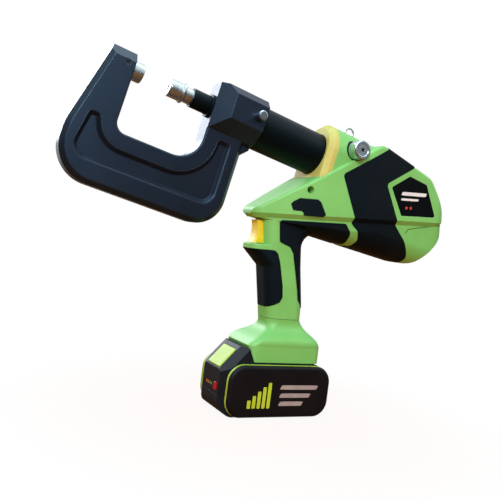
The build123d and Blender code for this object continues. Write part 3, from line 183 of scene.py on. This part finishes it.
# Sizes are in millimetres. Grain and tool marks finer than a pixel are drawn about 1 mm coarse, so that
# they show
finishes = {
    # ABS with a fine spark texture: satin and even, paler where an edge turns, partly wear and partly a
    # painted highlight
    "moulded_abs_green": grained("moulded_abs_green", {
        "dark": "#70BA5E", "light": "#7CC76C", "wearAndHighlightColour": "#9BDC8C", "wearAndHighlight": 0.35, "cloud": 40, "grain": 0.9,
        "depth": 0.12, "bite": 0.12, "rough": (0.38, 0.5), "edge": 0.9, "gloss": 0.5}),
    # The same plastic darkened: painted shade for a narrow groove, where little light comes
    "moulded_abs_shadow": grained("moulded_abs_shadow", {
        "dark": "#3F7A30", "light": "#4A8A3A", "wearAndHighlightColour": "#5E9E50", "wearAndHighlight": 0.2, "cloud": 10, "grain": 0.9,
        "depth": 0.05, "bite": 0.1, "rough": (0.5, 0.6), "edge": 0.1, "gloss": 0.2}),
    # Polyurethane paint with a coarse grit: matt mustard with tiny sparkles
    "textured_paint_yellow": grained("textured_paint_yellow", {
        "dark": "#BAB358", "light": "#C8C56C", "wearAndHighlightColour": "#DEDAA0", "wearAndHighlight": 0.4, "cloud": 12, "grain": 1.0,
        "depth": 0.3, "bite": 0.35, "rough": (0.45, 0.65), "edge": 0.9, "gloss": 0.35}),
    # Smooth moulded acetal: warm yellow with a soft highlight
    "moulded_acetal_yellow": grained("moulded_acetal_yellow", {
        "dark": "#DBC91E", "light": "#E9D934", "wearAndHighlightColour": "#F3E680", "wearAndHighlight": 0.3, "cloud": 10, "grain": 0.9,
        "depth": 0.06, "bite": 0.1, "rough": (0.28, 0.4), "edge": 0.9, "gloss": 0.5}),
    # Thermoplastic rubber moulded on: deep black, dull, with a painted cool blue tint on its faint sheen
    "moulded_rubber_black": grained("moulded_rubber_black", {
        "dark": "#070B0D", "light": "#0C1113", "wearAndHighlightColour": "#161D22", "wearAndHighlight": 0.5, "cloud": 30, "grain": 1.0,
        "depth": 0.15, "bite": 0.2, "rough": (0.5, 0.68), "edge": 0.7, "gloss": 0.2, "sheen": "#90C8F0"}),
    # Forged steel under a black baked coat: smooth slate black, its bevels paler blue-grey, partly wear and
    # partly a painted highlight, and a painted cool blue tint on its reflections
    "coated_steel_black": grained("coated_steel_black", {
        "dark": "#10141B", "light": "#151A23", "wearAndHighlightColour": "#3A475C", "wearAndHighlight": 0.6, "cloud": 45, "grain": 1.2,
        "depth": 0.08, "bite": 0.12, "rough": (0.3, 0.4), "edge": 1.0, "gloss": 0.7, "sheen": "#9CC8F2"}),
    # Blackened tube: even soot black, a soft long highlight, a painted cool blue tint on its reflections
    "blackened_steel": grained("blackened_steel", {
        "dark": "#05080A", "light": "#090D0F", "wearAndHighlightColour": "#1A2126", "wearAndHighlight": 0.4, "cloud": 30, "grain": 0.9,
        "depth": 0.05, "bite": 0.1, "rough": (0.4, 0.5), "edge": 0.5, "gloss": 0.2, "sheen": "#7CBCE0"}),
    # ABS with a spark texture, in black: warm charcoal, satin, with a painted cool tint on its reflections
    "moulded_abs_black": grained("moulded_abs_black", {
        "dark": "#100D0D", "light": "#161312", "wearAndHighlightColour": "#25262B", "wearAndHighlight": 0.5, "cloud": 30, "grain": 1.0,
        "depth": 0.1, "bite": 0.15, "rough": (0.42, 0.56), "edge": 0.7, "gloss": 0.2, "sheen": "#C8DCFF"}),
    # The same plastic on the pack's case, cooler in tone, with a painted cool tint on its reflections
    "moulded_abs_charcoal": grained("moulded_abs_charcoal", {
        "dark": "#111417", "light": "#171B1F", "wearAndHighlightColour": "#282D33", "wearAndHighlight": 0.5, "cloud": 30, "grain": 1.0,
        "depth": 0.1, "bite": 0.15, "rough": (0.42, 0.56), "edge": 0.7, "gloss": 0.25, "sheen": "#C8DCFF"}),
    # Polycarbonate film: piano black, glossy and clean
    "gloss_film_black": grained("gloss_film_black", {
        "dark": "#05080A", "light": "#090C0F", "wearAndHighlightColour": "#1C2226", "wearAndHighlight": 0.3, "cloud": 30, "grain": 3.0,
        "depth": 0.02, "bite": 0.05, "rough": (0.14, 0.22), "edge": 0.3, "gloss": 0.3}),
    # ABS in lime, moulded smooth: fresh and slightly glossy
    "moulded_abs_lime": grained("moulded_abs_lime", {
        "dark": "#9ABD36", "light": "#A8CB44", "wearAndHighlightColour": "#C4DC6C", "wearAndHighlight": 0.4, "cloud": 14, "grain": 0.9,
        "depth": 0.08, "bite": 0.12, "rough": (0.38, 0.5), "edge": 0.6, "gloss": 0.4}),
    # Red polycarbonate key: clear saturated red
    "moulded_key_red": grained("moulded_key_red", {
        "dark": "#A80C1A", "light": "#BC1424", "wearAndHighlightColour": "#D8404C", "wearAndHighlight": 0.3, "cloud": 5, "grain": 0.9,
        "depth": 0.03, "bite": 0.1, "rough": (0.22, 0.32), "edge": 0.4, "gloss": 0.5}),
    # Glass-epoxy board under green solder mask: deep green with a thin gloss
    "solder_mask_green": grained("solder_mask_green", {
        "dark": "#0F4A26", "light": "#15602F", "wearAndHighlightColour": "#3C7A4C", "wearAndHighlight": 0.3, "cloud": 6, "grain": 1.0,
        "depth": 0.03, "bite": 0.1, "rough": (0.25, 0.35), "edge": 0.2, "gloss": 0.5}),
    # Shrink sleeve of the cells: thin glossy blue-grey vinyl
    "vinyl_sleeve_blue": grained("vinyl_sleeve_blue", {
        "dark": "#3E6C8C", "light": "#4B7DA0", "wearAndHighlightColour": "#7FA4BD", "wearAndHighlight": 0.3, "cloud": 12, "grain": 1.5,
        "depth": 0.03, "bite": 0.1, "rough": (0.2, 0.3), "edge": 0.4, "gloss": 0.5}),
    # Turned bright steel: fine rings, sharp light and dark bands
    "turned_steel_bright": turned("turned_steel_bright", {
        "dark": "#A3ABB0", "light": "#C0C7CB", "cloud": 8, "pitch": 1.2, "depth": 0.06, "bite": 0.35,
        "rough": (0.14, 0.28), "edge": 0.4, **ramLine}),
    # Polished nose and die: brighter and softer than the turned pieces
    "polished_steel": turned("polished_steel", {
        "dark": "#B6C5C6", "light": "#D8E5E6", "cloud": 5, "pitch": 1.4, "depth": 0.08, "bite": 0.45,
        "rough": (0.2, 0.34), "edge": 0.6, **ramLine}),
    # Ground steel pin and ring: smooth and bright
    "ground_steel": turned("ground_steel", {
        "dark": "#99A2A9", "light": "#B6BEC4", "cloud": 6, "pitch": 1.5, "depth": 0.04, "bite": 0.2,
        "rough": (0.16, 0.26), "edge": 0.4, **pinLine}),
    # Faced steel knob: rings round the middle of its face
    "faced_steel": turned("faced_steel", {
        "dark": "#AEBBC5", "light": "#CCD7DF", "cloud": 6, "pitch": 1.1, "depth": 0.1, "bite": 0.5,
        "rough": (0.2, 0.36), "edge": 0.4, **knobLine}),
    # Blackened screws: dark grey with a dull glint
    "blackened_screw": turned("blackened_screw", {
        "dark": "#33363A", "light": "#43474C", "cloud": 5, "pitch": 1.0, "depth": 0.03, "bite": 0.2,
        "rough": (0.32, 0.48), "edge": 0.3, **pinLine}),
    # Rolled brass contacts: warm and a little dull
    "rolled_brass": turned("rolled_brass", {
        "dark": "#B8923E", "light": "#CFA94F", "cloud": 6, "pitch": 1.0, "depth": 0.03, "bite": 0.2,
        "rough": (0.25, 0.4), "edge": 0.3, **pinLine}),
}

# Charge lights, polycarbonate: small amber and green windows, told apart by how far across the front they are
lights = {"middle": 3.5, "reach": 6.0, "amber": "#D8722A", "green": "#4FAE4A", "rough": 0.25}
lightWindow, tree, shader = newMaterial("polycarbonate_windows")
place = addNode(tree, "ShaderNodeTexCoord").outputs["Object"]
spot = addNode(tree, "ShaderNodeSeparateXYZ", links={0: place})
across = addNode(tree, "ShaderNodeMapRange", {"From Min": (lights["middle"] - lights["reach"]) * mm,
                                              "From Max": (lights["middle"] + lights["reach"]) * mm},
                 {"Value": spot.outputs["Y"]})
hue = addNode(tree, "ShaderNodeValToRGB", links={"Fac": across.outputs[0]})
hue.color_ramp.interpolation = "CONSTANT"
hue.color_ramp.elements[0].color = hexColour(lights["green"])
hue.color_ramp.elements[1].position = 0.5
hue.color_ramp.elements[1].color = hexColour(lights["amber"])
tree.links.new(hue.outputs[0], shader.inputs["Base Color"])
shader.inputs["Roughness"].default_value = lights["rough"]
finishes["polycarbonate_windows"] = lightWindow

finishOf = {
    "moulded_abs_green": ["housing_left", "housing_right", "foot"],
    "textured_paint_yellow": ["front_collar"],
    "moulded_acetal_yellow": ["trigger"],
    "moulded_rubber_black": ["side_panel_left", "side_panel_right", "belly_grip_left", "belly_grip_right",
                             "front_grip_left", "front_grip_right", "release_button", "piston_seal",
                             "rod_seal", "oil_reservoir"],
    "coated_steel_black": ["c_frame"],
    "blackened_steel": ["cylinder_barrel", "ram", "rod_guide"],
    "polished_steel": ["die", "nosepiece"],
    "turned_steel_bright": ["punch", "cam_shaft", "motor_rotor", "motor_can", "gearbox", "pump_block",
                            "pump_plunger", "return_spring", "nosepiece_spring"],
    "ground_steel": ["lock_pin", "hanger_ring", "hanger_lug"],
    "faced_steel": ["valve_knob"],
    "blackened_screw": ["die_set_screw", "housing_screws"],
    "moulded_abs_black": ["knob_liner", "trigger_switch", "terminal_block", "battery_plate_left",
                          "battery_plate_right"],
    "moulded_abs_charcoal": ["battery_base", "battery_cover"],
    "gloss_film_black": ["label_plate"],
    "moulded_abs_lime": ["battery_trim_left", "battery_trim_right", "battery_latch"],
    "moulded_key_red": ["charge_button"],
    "solder_mask_green": ["control_board"],
    "vinyl_sleeve_blue": ["battery_cells"],
    "rolled_brass": ["battery_terminals"],
    "polycarbonate_windows": ["charge_lights"],
}
for finish, members in finishOf.items():
    for member in members:
        nodes[member].data.materials.clear()
        nodes[member].data.materials.append(finishes[finish])
print("finishes:", len(finishes))


def newObject(name, points, faces, material):
    # a mesh in the frame's place, in metres
    mesh = bpy.data.meshes.new(name)
    mesh.from_pydata(np.asarray(points, float).tolist(), [], faces)
    mesh.materials.append(material)
    mesh.validate()
    made = bpy.data.objects.new(name, mesh)
    scene.collection.objects.link(made)
    return made


def newPiece(name, points, faces, material, body):
    # a piece from points in millimetres, which rides on a body
    piece = newObject(name, points.reshape(-1, 3) * mm, faces, material)
    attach(piece, body)
    return piece


def thicken(piece, depth):
    # a sheet gets its thickness inwards, so that its face stays where it is
    skin = piece.modifiers.new("skin", "SOLIDIFY")
    skin.thickness = depth * mm
    skin.offset = -1.0


def ramPlace(along, across, up):
    # Points beside the ram's line, from how far they are along it, across the tool and up from it
    run, drop = ramLine["axis"][0], ramLine["axis"][2]
    along, across, up = np.broadcast_arrays(along, across, up)
    height = ramLine["centre"][2] + along * drop + up * run
    return np.stack([along * run - up * drop, across, height], axis=-1)


def roundedOutline(corners, radii, steps):
    # Closed outline in a plane: each corner becomes an arc of its radius, touching both straight runs
    corners = np.asarray(corners, float)
    before = np.roll(corners, 1, axis=0) - corners
    after = np.roll(corners, -1, axis=0) - corners
    before /= np.linalg.norm(before, axis=1)[:, None]
    after /= np.linalg.norm(after, axis=1)[:, None]
    half = np.arccos(np.clip((before * after).sum(axis=1), -1, 1)) / 2
    radii = np.asarray(radii, float)
    middle = before + after
    middle /= np.linalg.norm(middle, axis=1)[:, None]
    centres = corners + middle * (radii / np.sin(half))[:, None]
    first = corners + before * (radii / np.tan(half))[:, None] - centres
    last = corners + after * (radii / np.tan(half))[:, None] - centres
    sweep = (np.pi - 2 * half)[:, None, None]
    share = np.linspace(0, 1, steps)[None, :, None]
    arcs = np.sin((1 - share) * sweep) * first[:, None, :] + np.sin(share * sweep) * last[:, None, :]
    return (arcs / np.sin(sweep) + centres[:, None, :]).reshape(-1, 2)


def gridFaces(rows, columns, openRows=False, openColumns=False):
    # Quads of a grid that closes on itself both ways, unless its rows or columns end open
    row, column = np.meshgrid(np.arange(rows - openRows), np.arange(columns - openColumns), indexing="ij")
    nextRow, nextColumn = (row + 1) % rows, (column + 1) % columns
    corners = [row * columns + column, row * columns + nextColumn, nextRow * columns + nextColumn,
               nextRow * columns + column]
    return np.stack([corner.ravel() for corner in corners], axis=1)


# Rounded foot of the pocket's wall in the yoke: a smooth step from the rim to the floor, carried along the
# pocket's outline in the ram's frame
cove = {"outline": [(-204.4, -49), (-192.4, -49), (-192.4, -73), (-83, -73), (-83, -28), (-68, -28),
                    (-68, -93), (-211.7, -93)],
        "radii": [5, 5, 24, 39, 5, 5, 14, 14], "face": 11.0, "depth": 4.0, "width": 4.4, "clear": 0.03,
        "steps": 12, "bend": 10}
rim = roundedOutline(cove["outline"], cove["radii"], cove["steps"])
heading = np.roll(rim, -1, axis=0) - np.roll(rim, 1, axis=0)
heading /= np.linalg.norm(heading, axis=1)[:, None]
inward = np.stack([heading[:, 1], -heading[:, 0]], axis=1)
step = np.linspace(0, 1, cove["bend"])
insets = np.append(cove["clear"] + cove["width"] * step, cove["clear"])
depths = np.append((cove["depth"] - cove["clear"]) * (3 * step ** 2 - 2 * step ** 3),
                   cove["depth"] - cove["clear"] / 2)
spread = rim[:, None, :] + inward[:, None, :] * insets[None, :, None]
for side, name in ((-1, "pocket_cove_left"), (1, "pocket_cove_right")):
    points = ramPlace(spread[..., 0], side * (cove["face"] - depths), spread[..., 1])
    # the right one is a mirror, so its faces turn round
    faces = gridFaces(*spread.shape[:2])[:, ::-side].tolist()
    piece = newPiece(name, points, faces, finishes["coated_steel_black"], "yoke")
    piece.data.polygons.foreach_set("use_smooth", np.ones(len(faces), bool))
print("pocket coves: 2")

# Relief valve knob, as full as the real one: a profile of reach from the middle plane and radius, turned
# round its line. Inside the liner it is slimmer than the bore, and past the mouth it swells into the head
knob = {"rear": 25.0, "neck": 8.7, "head": 9.8, "face": 43.0, "edge": 0.9, "dish": 6.6, "dip": 0.45,
        "hole": 1.7, "depth": 4.0, "clear": 0.4, "steps": 72, "crease": 30}
mouth = -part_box("knob_liner")[0].y / mm + knob["clear"]
floorOfDish = knob["face"] - knob["dip"]
profile = np.array([
    (knob["rear"], knob["neck"] - knob["edge"]), (knob["rear"] + knob["edge"], knob["neck"]),
    (mouth, knob["neck"]), (mouth + knob["edge"], knob["head"]),
    (knob["face"] - knob["edge"], knob["head"]), (knob["face"], knob["head"] - knob["edge"]),
    (knob["face"], knob["dish"]), (floorOfDish, knob["dish"] - knob["dip"]), (floorOfDish, knob["hole"]),
    (knob["face"] - knob["depth"], knob["hole"])])
around = np.linspace(0, 2 * np.pi, knob["steps"], endpoint=False)
points = np.stack([knobLine["centre"][0] + np.outer(np.cos(around), profile[:, 1]),
                   np.broadcast_to(-profile[:, 0], (len(around), len(profile))),
                   knobLine["centre"][2] + np.outer(np.sin(around), profile[:, 1])], axis=-1)
sides = gridFaces(len(around), len(profile), openColumns=True)[:, ::-1].tolist()
starts = np.arange(len(around)) * len(profile)
ends = [starts[::-1].tolist(), (starts + len(profile) - 1).tolist()]
piece = newPiece("valve_knob_head", points, sides + ends, finishes["faced_steel"], "valve_knob")
# The darker screw finish down the hole is painted shade in the hole
piece.data.materials.append(finishes["blackened_screw"])  # down the hole in the face
inHole = np.append(np.tile(np.arange(len(profile) - 1) == len(profile) - 2, len(around)), [False, True])
piece.data.polygons.foreach_set("material_index", inHole.astype(np.int32))
piece.data.shade_smooth()
piece.data.set_sharp_from_angle(angle=np.radians(knob["crease"]))
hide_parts("valve_knob")
print("valve knob: 1")

# Coil springs: square wire on a helix whose angle and reach along the ram grow together
coils = {
    "return_spring": {"start": -73.5, "end": 24.2, "turns": 6, "radius": 12.125, "wire": 3.0,
                      "steps": 36, "body": "tool", "joint": "ram_slide", "held": -75.0, "keep": 0.741},
    "nosepiece_spring": {"start": -136.0, "end": -100.8, "turns": 5, "radius": 4.125, "wire": 1.2,
                         "steps": 36, "body": "ram", "joint": "nosepiece_slide", "held": -100.2,
                         "keep": 0.848},
}
for name, coil in coils.items():
    bend = np.linspace(0, 2 * np.pi * coil["turns"], 1 + coil["steps"] * coil["turns"])[:, None]
    corner = np.array([(-1, -1), (1, -1), (1, 1), (-1, 1)]) * coil["wire"] / 2
    reach = np.linspace(coil["start"], coil["end"], len(bend))[:, None] + corner[:, 0]
    out = coil["radius"] + corner[:, 1]
    points = ramPlace(reach, out * np.sin(bend), out * np.cos(bend))
    sides = gridFaces(*reach.shape, openRows=True)[:, ::-1].tolist()
    firstEnd = np.arange(len(corner))
    lastEnd = reach.size - 1 - firstEnd
    faces = sides + [firstEnd.tolist(), lastEnd.tolist()]
    piece = newPiece(name + "_coil", points, faces, finishes["turned_steel_bright"], coil["body"])
    anchor = (ramPlace(coil["held"], 0, 0) * mm).tolist()
    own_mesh(piece)
    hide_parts(name)
print("springs:", len(coils))

# Panel line on the tail's left flank: a narrow strip along a bent line in x and z, laid on the flank, and
# past the turn on the arc of the tail's corner. Its darker green is painted shade for the groove
seam = {"line": [(136.6, 200.8), (140.0, 205.8), (151.0, 208.5), (163.6, 211.2), (175.0, 213.6),
                 (181.1, 214.6), (187.0, 215.5)],
        "half": 0.55, "flank": 32.4, "turn": 178.0, "radius": 18.9, "off": 0.06, "steps": 40}
line = np.array(seam["line"])
share = np.linspace(0, len(line) - 1, seam["steps"])
x, z = [np.interp(share, np.arange(len(line)), line[:, axis]) for axis in (0, 1)]
slope = np.stack([np.gradient(x), np.gradient(z)], axis=1)
slope /= np.linalg.norm(slope, axis=1)[:, None]
reach = np.array([-seam["half"], seam["half"]])[:, None]
edgeX, edgeZ = x - reach * slope[:, 1], z + reach * slope[:, 0]
past = np.maximum(edgeX - seam["turn"], 0)
depth = seam["flank"] - seam["radius"] + np.sqrt(seam["radius"] ** 2 - past ** 2)
points = np.stack([edgeX, -depth - seam["off"], edgeZ], axis=-1)
faces = gridFaces(*edgeX.shape, openRows=True, openColumns=True).tolist()
piece = newPiece("tail_panel_line", points, faces, finishes["moulded_abs_shadow"], "tool")
thicken(piece, seam["off"])
print("panel line: 1")

# Screen-printed ink: flat and slightly uneven, a little duller than the plastic below
inkLook = {"wearAndHighlight": 0.0, "cloud": 8, "grain": 1.0, "depth": 0.03, "bite": 0.1, "rough": (0.45, 0.6),
           "edge": 0.1, "gloss": 0.3}
inkTones = {"lime": ("#A9C22A", "#B9D034"), "grey": ("#958C8A", "#A59C99"), "white": ("#D5D8DA", "#E6E8EA"),
            "red": ("#A8352B", "#BC4034")}
inks = {name: grained("screen_ink_" + name, {**inkLook, "dark": dark, "light": light, "wearAndHighlightColour": light})
        for name, (dark, light) in inkTones.items()}
film = {"off": 0.08, "thickness": 0.06, "rings": (0.35, 0.7, 1.0), "steps": 40, "power": 2 / 9}


def inkFilm(name, row):
    # A row of printed marks on an upright face: each is a rounded block, a superellipse filled in by rings,
    # that may lean and tilt. Each mark adds the step to its centre and the growth to its half sizes
    turn = np.linspace(0, 2 * np.pi, film["steps"], endpoint=False)
    power = row.get("power", film["power"])
    edges = [np.sign(wave) * np.abs(wave) ** power for wave in (np.cos(turn), np.sin(turn))]
    count = np.arange(row["count"])[:, None]
    halves = [row["half"][k] + row["grow"][k] * count for k in (0, 1)]
    x, z = [np.append(0, np.outer(film["rings"], edges[k]).ravel()) * halves[k] for k in (0, 1)]
    x = x + row.get("lean", 0) * z
    tilt = np.radians(row.get("tilt", 0))
    centreX, centreZ = [row["centre"][k] + row["step"][k] * count for k in (0, 1)]
    points = np.stack([centreX + x * np.cos(tilt) - z * np.sin(tilt),
                       np.full(x.shape, row["face"] - film["off"]),
                       centreZ + x * np.sin(tilt) + z * np.cos(tilt)], axis=-1)
    index = np.arange(len(turn))
    fan = np.stack([np.zeros_like(index), index + 1, np.roll(index, -1) + 1], axis=1)
    quads = 1 + gridFaces(len(film["rings"]), len(turn), openRows=True)[:, [0, 3, 2, 1]]
    starts = count[:, :, None] * x.shape[1]
    faces = (fan + starts).reshape(-1, 3).tolist() + (quads + starts).reshape(-1, 4).tolist()
    piece = newPiece(name, points, faces, inks[row["ink"]], row["body"])
    thicken(piece, film["thickness"])


# Rising gauge bars and three stripes on the battery's left plate, two short rules and two dots on the tail's
plateFace, labelFace = -35.2, -37.0
prints = {
    "battery_gauge_print": {"count": 5, "centre": (-31, 14.5), "step": (5.4, 2.2), "half": (1.9, 4),
                            "grow": (0, 2.2), "face": plateFace, "ink": "lime", "body": "battery",
                            "slot": "lime_plastic"},
    "battery_stripe_print": {"count": 3, "centre": (24.5, 31.5), "step": (-4, -8.2), "half": (21.5, 2.2),
                             "grow": (-4, 0), "lean": 0.5, "face": plateFace, "ink": "grey",
                             "body": "battery", "slot": "lime_plastic"},
    "label_rule_print": {"count": 2, "centre": (138.5, 244), "step": (-5, -6.6), "half": (17, 1.9),
                         "grow": (-5, -0.7), "tilt": 4.7, "lean": 0.4, "face": labelFace, "ink": "white",
                         "body": "tool", "slot": "light_window"},
    "label_dot_print": {"count": 2, "centre": (130, 228.1), "step": (6, 0.5), "half": (1.7, 1.7),
                        "grow": (0, 0), "power": 1, "face": labelFace, "ink": "red", "body": "tool",
                        "slot": "red_plastic"},
}
for name, row in prints.items():
    inkFilm(name, row)
print("prints:", len(prints))

# Camera, as the photograph was taken
camera = {"place": (-0.32517, -0.56969, 0.17510), "right": (0.88356, -0.45122, 0.12534),
          "down": (0.10291, -0.07403, -0.99193), "forward": (0.45686, 0.88933, -0.01897), "lens": 45.5,
          "nearest": 0.01}
cameraData = bpy.data.cameras.new("camera")
cameraData.lens = camera["lens"]
cameraData.clip_start = camera["nearest"]
cameraObject = bpy.data.objects.new("camera", cameraData)
scene.collection.objects.link(cameraObject)
turn = Matrix((camera["right"], -Vector(camera["down"]), -Vector(camera["forward"]))).transposed()
cameraObject.matrix_world = Matrix.Translation(camera["place"]) @ turn.to_4x4()
scene.camera = cameraObject

# Soft studio light: a cool softbox overhead, a small key high on the left, a weak lamp in front that gives
# the black steel its sheen, a weak warm fill on the right, and one behind
lamps = {
    "overhead": {"place": (-0.10, -0.15, 1.30), "size": 1.0, "power": 9.0, "colour": "#C8ECFF"},
    "key": {"place": (-0.80, -1.05, 0.95), "size": 0.3, "power": 14.0, "colour": "#FAFBFF"},
    "sheen": {"place": (-0.28, -1.15, 0.60), "size": 0.35, "power": 3.4, "colour": "#EAF2FF"},
    "fill": {"place": (1.0, -0.6, 0.9), "size": 0.8, "power": 3.0, "colour": "#FFF1D8"},
    "back": {"place": (-0.3, 1.4, 0.8), "size": 0.8, "power": 14.0, "colour": "#F4F8FF"},
}
target = Vector((0.0, 0.0, 0.2))  # all lamps face the middle of the tool
for name, lamp in lamps.items():
    data = bpy.data.lights.new(name, "AREA")
    data.size = lamp["size"]
    data.energy = lamp["power"]
    data.color = hexColour(lamp["colour"])[:3]
    light = bpy.data.objects.new(name, data)
    light.location = lamp["place"]
    light.rotation_euler = (target - Vector(lamp["place"])).to_track_quat("-Z", "Y").to_euler()
    scene.collection.objects.link(light)


def seenRays(tree):
    # 1 for rays from the camera, off gloss or through glass, which see the white background, else 0
    path = addNode(tree, "ShaderNodeLightPath")
    seen = addNode(tree, "ShaderNodeMath", operation="ADD",
                   links={0: path.outputs["Is Camera Ray"], 1: path.outputs["Is Glossy Ray"]})
    seen = addNode(tree, "ShaderNodeMath", operation="ADD", use_clamp=True,
                   links={0: seen.outputs[0], 1: path.outputs["Is Transmission Ray"]})
    return seen.outputs[0]


# World: white where it is seen, and a soft cool light on the tool
sky = {"colour": "#F4F8FF", "strength": 0.3}
world = bpy.data.worlds.new("studio")
scene.world = world
tree = clearTree(world)
soft = addNode(tree, "ShaderNodeBackground", {"Color": hexColour(sky["colour"]), "Strength": sky["strength"]})
white = addNode(tree, "ShaderNodeBackground", {"Color": (1, 1, 1, 1), "Strength": 1.0})
mixed = addNode(tree, "ShaderNodeMixShader",
                links={0: seenRays(tree), 1: soft.outputs[0], 2: white.outputs[0]})
addNode(tree, "ShaderNodeOutputWorld", links={"Surface": mixed.outputs[0]})

# Pale floor: it keeps the shadow near the tool and runs out to white away from it. Its own colour shows
# faintly in the shadow, and reaches the tool as a warm bounce
floor = {"half": 6.0, "drop": 0.0002, "colour": "#E08C48", "near": 0.06, "far": 0.3, "glow": (0.93, 1.0)}
half, level = floor["half"], cadBox[0].z - floor["drop"]
paper = bpy.data.materials.new("floor_paper")
tree = clearTree(paper)
place = addNode(tree, "ShaderNodeTexCoord").outputs["Object"]
away = addNode(tree, "ShaderNodeVectorMath", links={0: place}, operation="LENGTH")
glow = addNode(tree, "ShaderNodeMapRange", {"From Min": floor["near"], "From Max": floor["far"],
                                            "To Min": floor["glow"][0], "To Max": floor["glow"][1]},
               {"Value": away.outputs["Value"]}, interpolation_type="SMOOTHSTEP")
glow = addNode(tree, "ShaderNodeMath", links={0: seenRays(tree), 1: glow.outputs[0]}, operation="MULTIPLY")
matt = addNode(tree, "ShaderNodeBsdfDiffuse", {"Color": hexColour(floor["colour"])})
bright = addNode(tree, "ShaderNodeEmission", {"Color": (1, 1, 1, 1), "Strength": 1.0})
mixed = addNode(tree, "ShaderNodeMixShader",
                links={0: glow.outputs[0], 1: matt.outputs[0], 2: bright.outputs[0]})
addNode(tree, "ShaderNodeOutputMaterial", links={"Surface": mixed.outputs[0]})
corners = [(-half, -half, level), (half, -half, level), (half, half, level), (-half, half, level)]
newObject("floor", corners, [(0, 1, 2, 3)], paper)

# Dark cloth in front of the set and on the table, seen only in reflections: it gives the steel its dark
# bands. The wall is an arc on the camera's side, up to the given y, at three heights, and the table is the
# circle filled in
drape = {"radius": 1.5, "heights": (0.002, 0.5, 1.0), "side": 0.2, "steps": 48, "low": "#3C444C",
         "high": "#8A949E", "table": "#7E5430"}
angles = np.linspace(0, 2 * np.pi, drape["steps"], endpoint=False)
circle = drape["radius"] * np.stack([np.cos(angles), np.sin(angles)], axis=1)
rings = [np.column_stack([circle, np.full(len(circle), height)]) for height in drape["heights"]]
walls = gridFaces(2, len(circle), openRows=True)[circle[:, 1] < drape["side"]].tolist()
for name, points, faces, colour in (
        ("drapeLow", np.vstack(rings[:2]), walls, drape["low"]),
        ("drapeHigh", np.vstack(rings[1:]), walls, drape["high"]),
        ("drapeTable", rings[0], [list(range(len(circle)))], drape["table"])):
    cloth = bpy.data.materials.new(name)
    tree = clearTree(cloth)
    dull = addNode(tree, "ShaderNodeEmission", {"Color": hexColour(colour), "Strength": 1.0})
    addNode(tree, "ShaderNodeOutputMaterial", links={"Surface": dull.outputs[0]})
    hung = newObject(name, points, faces, cloth)
    hung.visible_camera = False
    hung.visible_diffuse = False
    hung.visible_transmission = False
    hung.visible_shadow = False
print("studio ready")
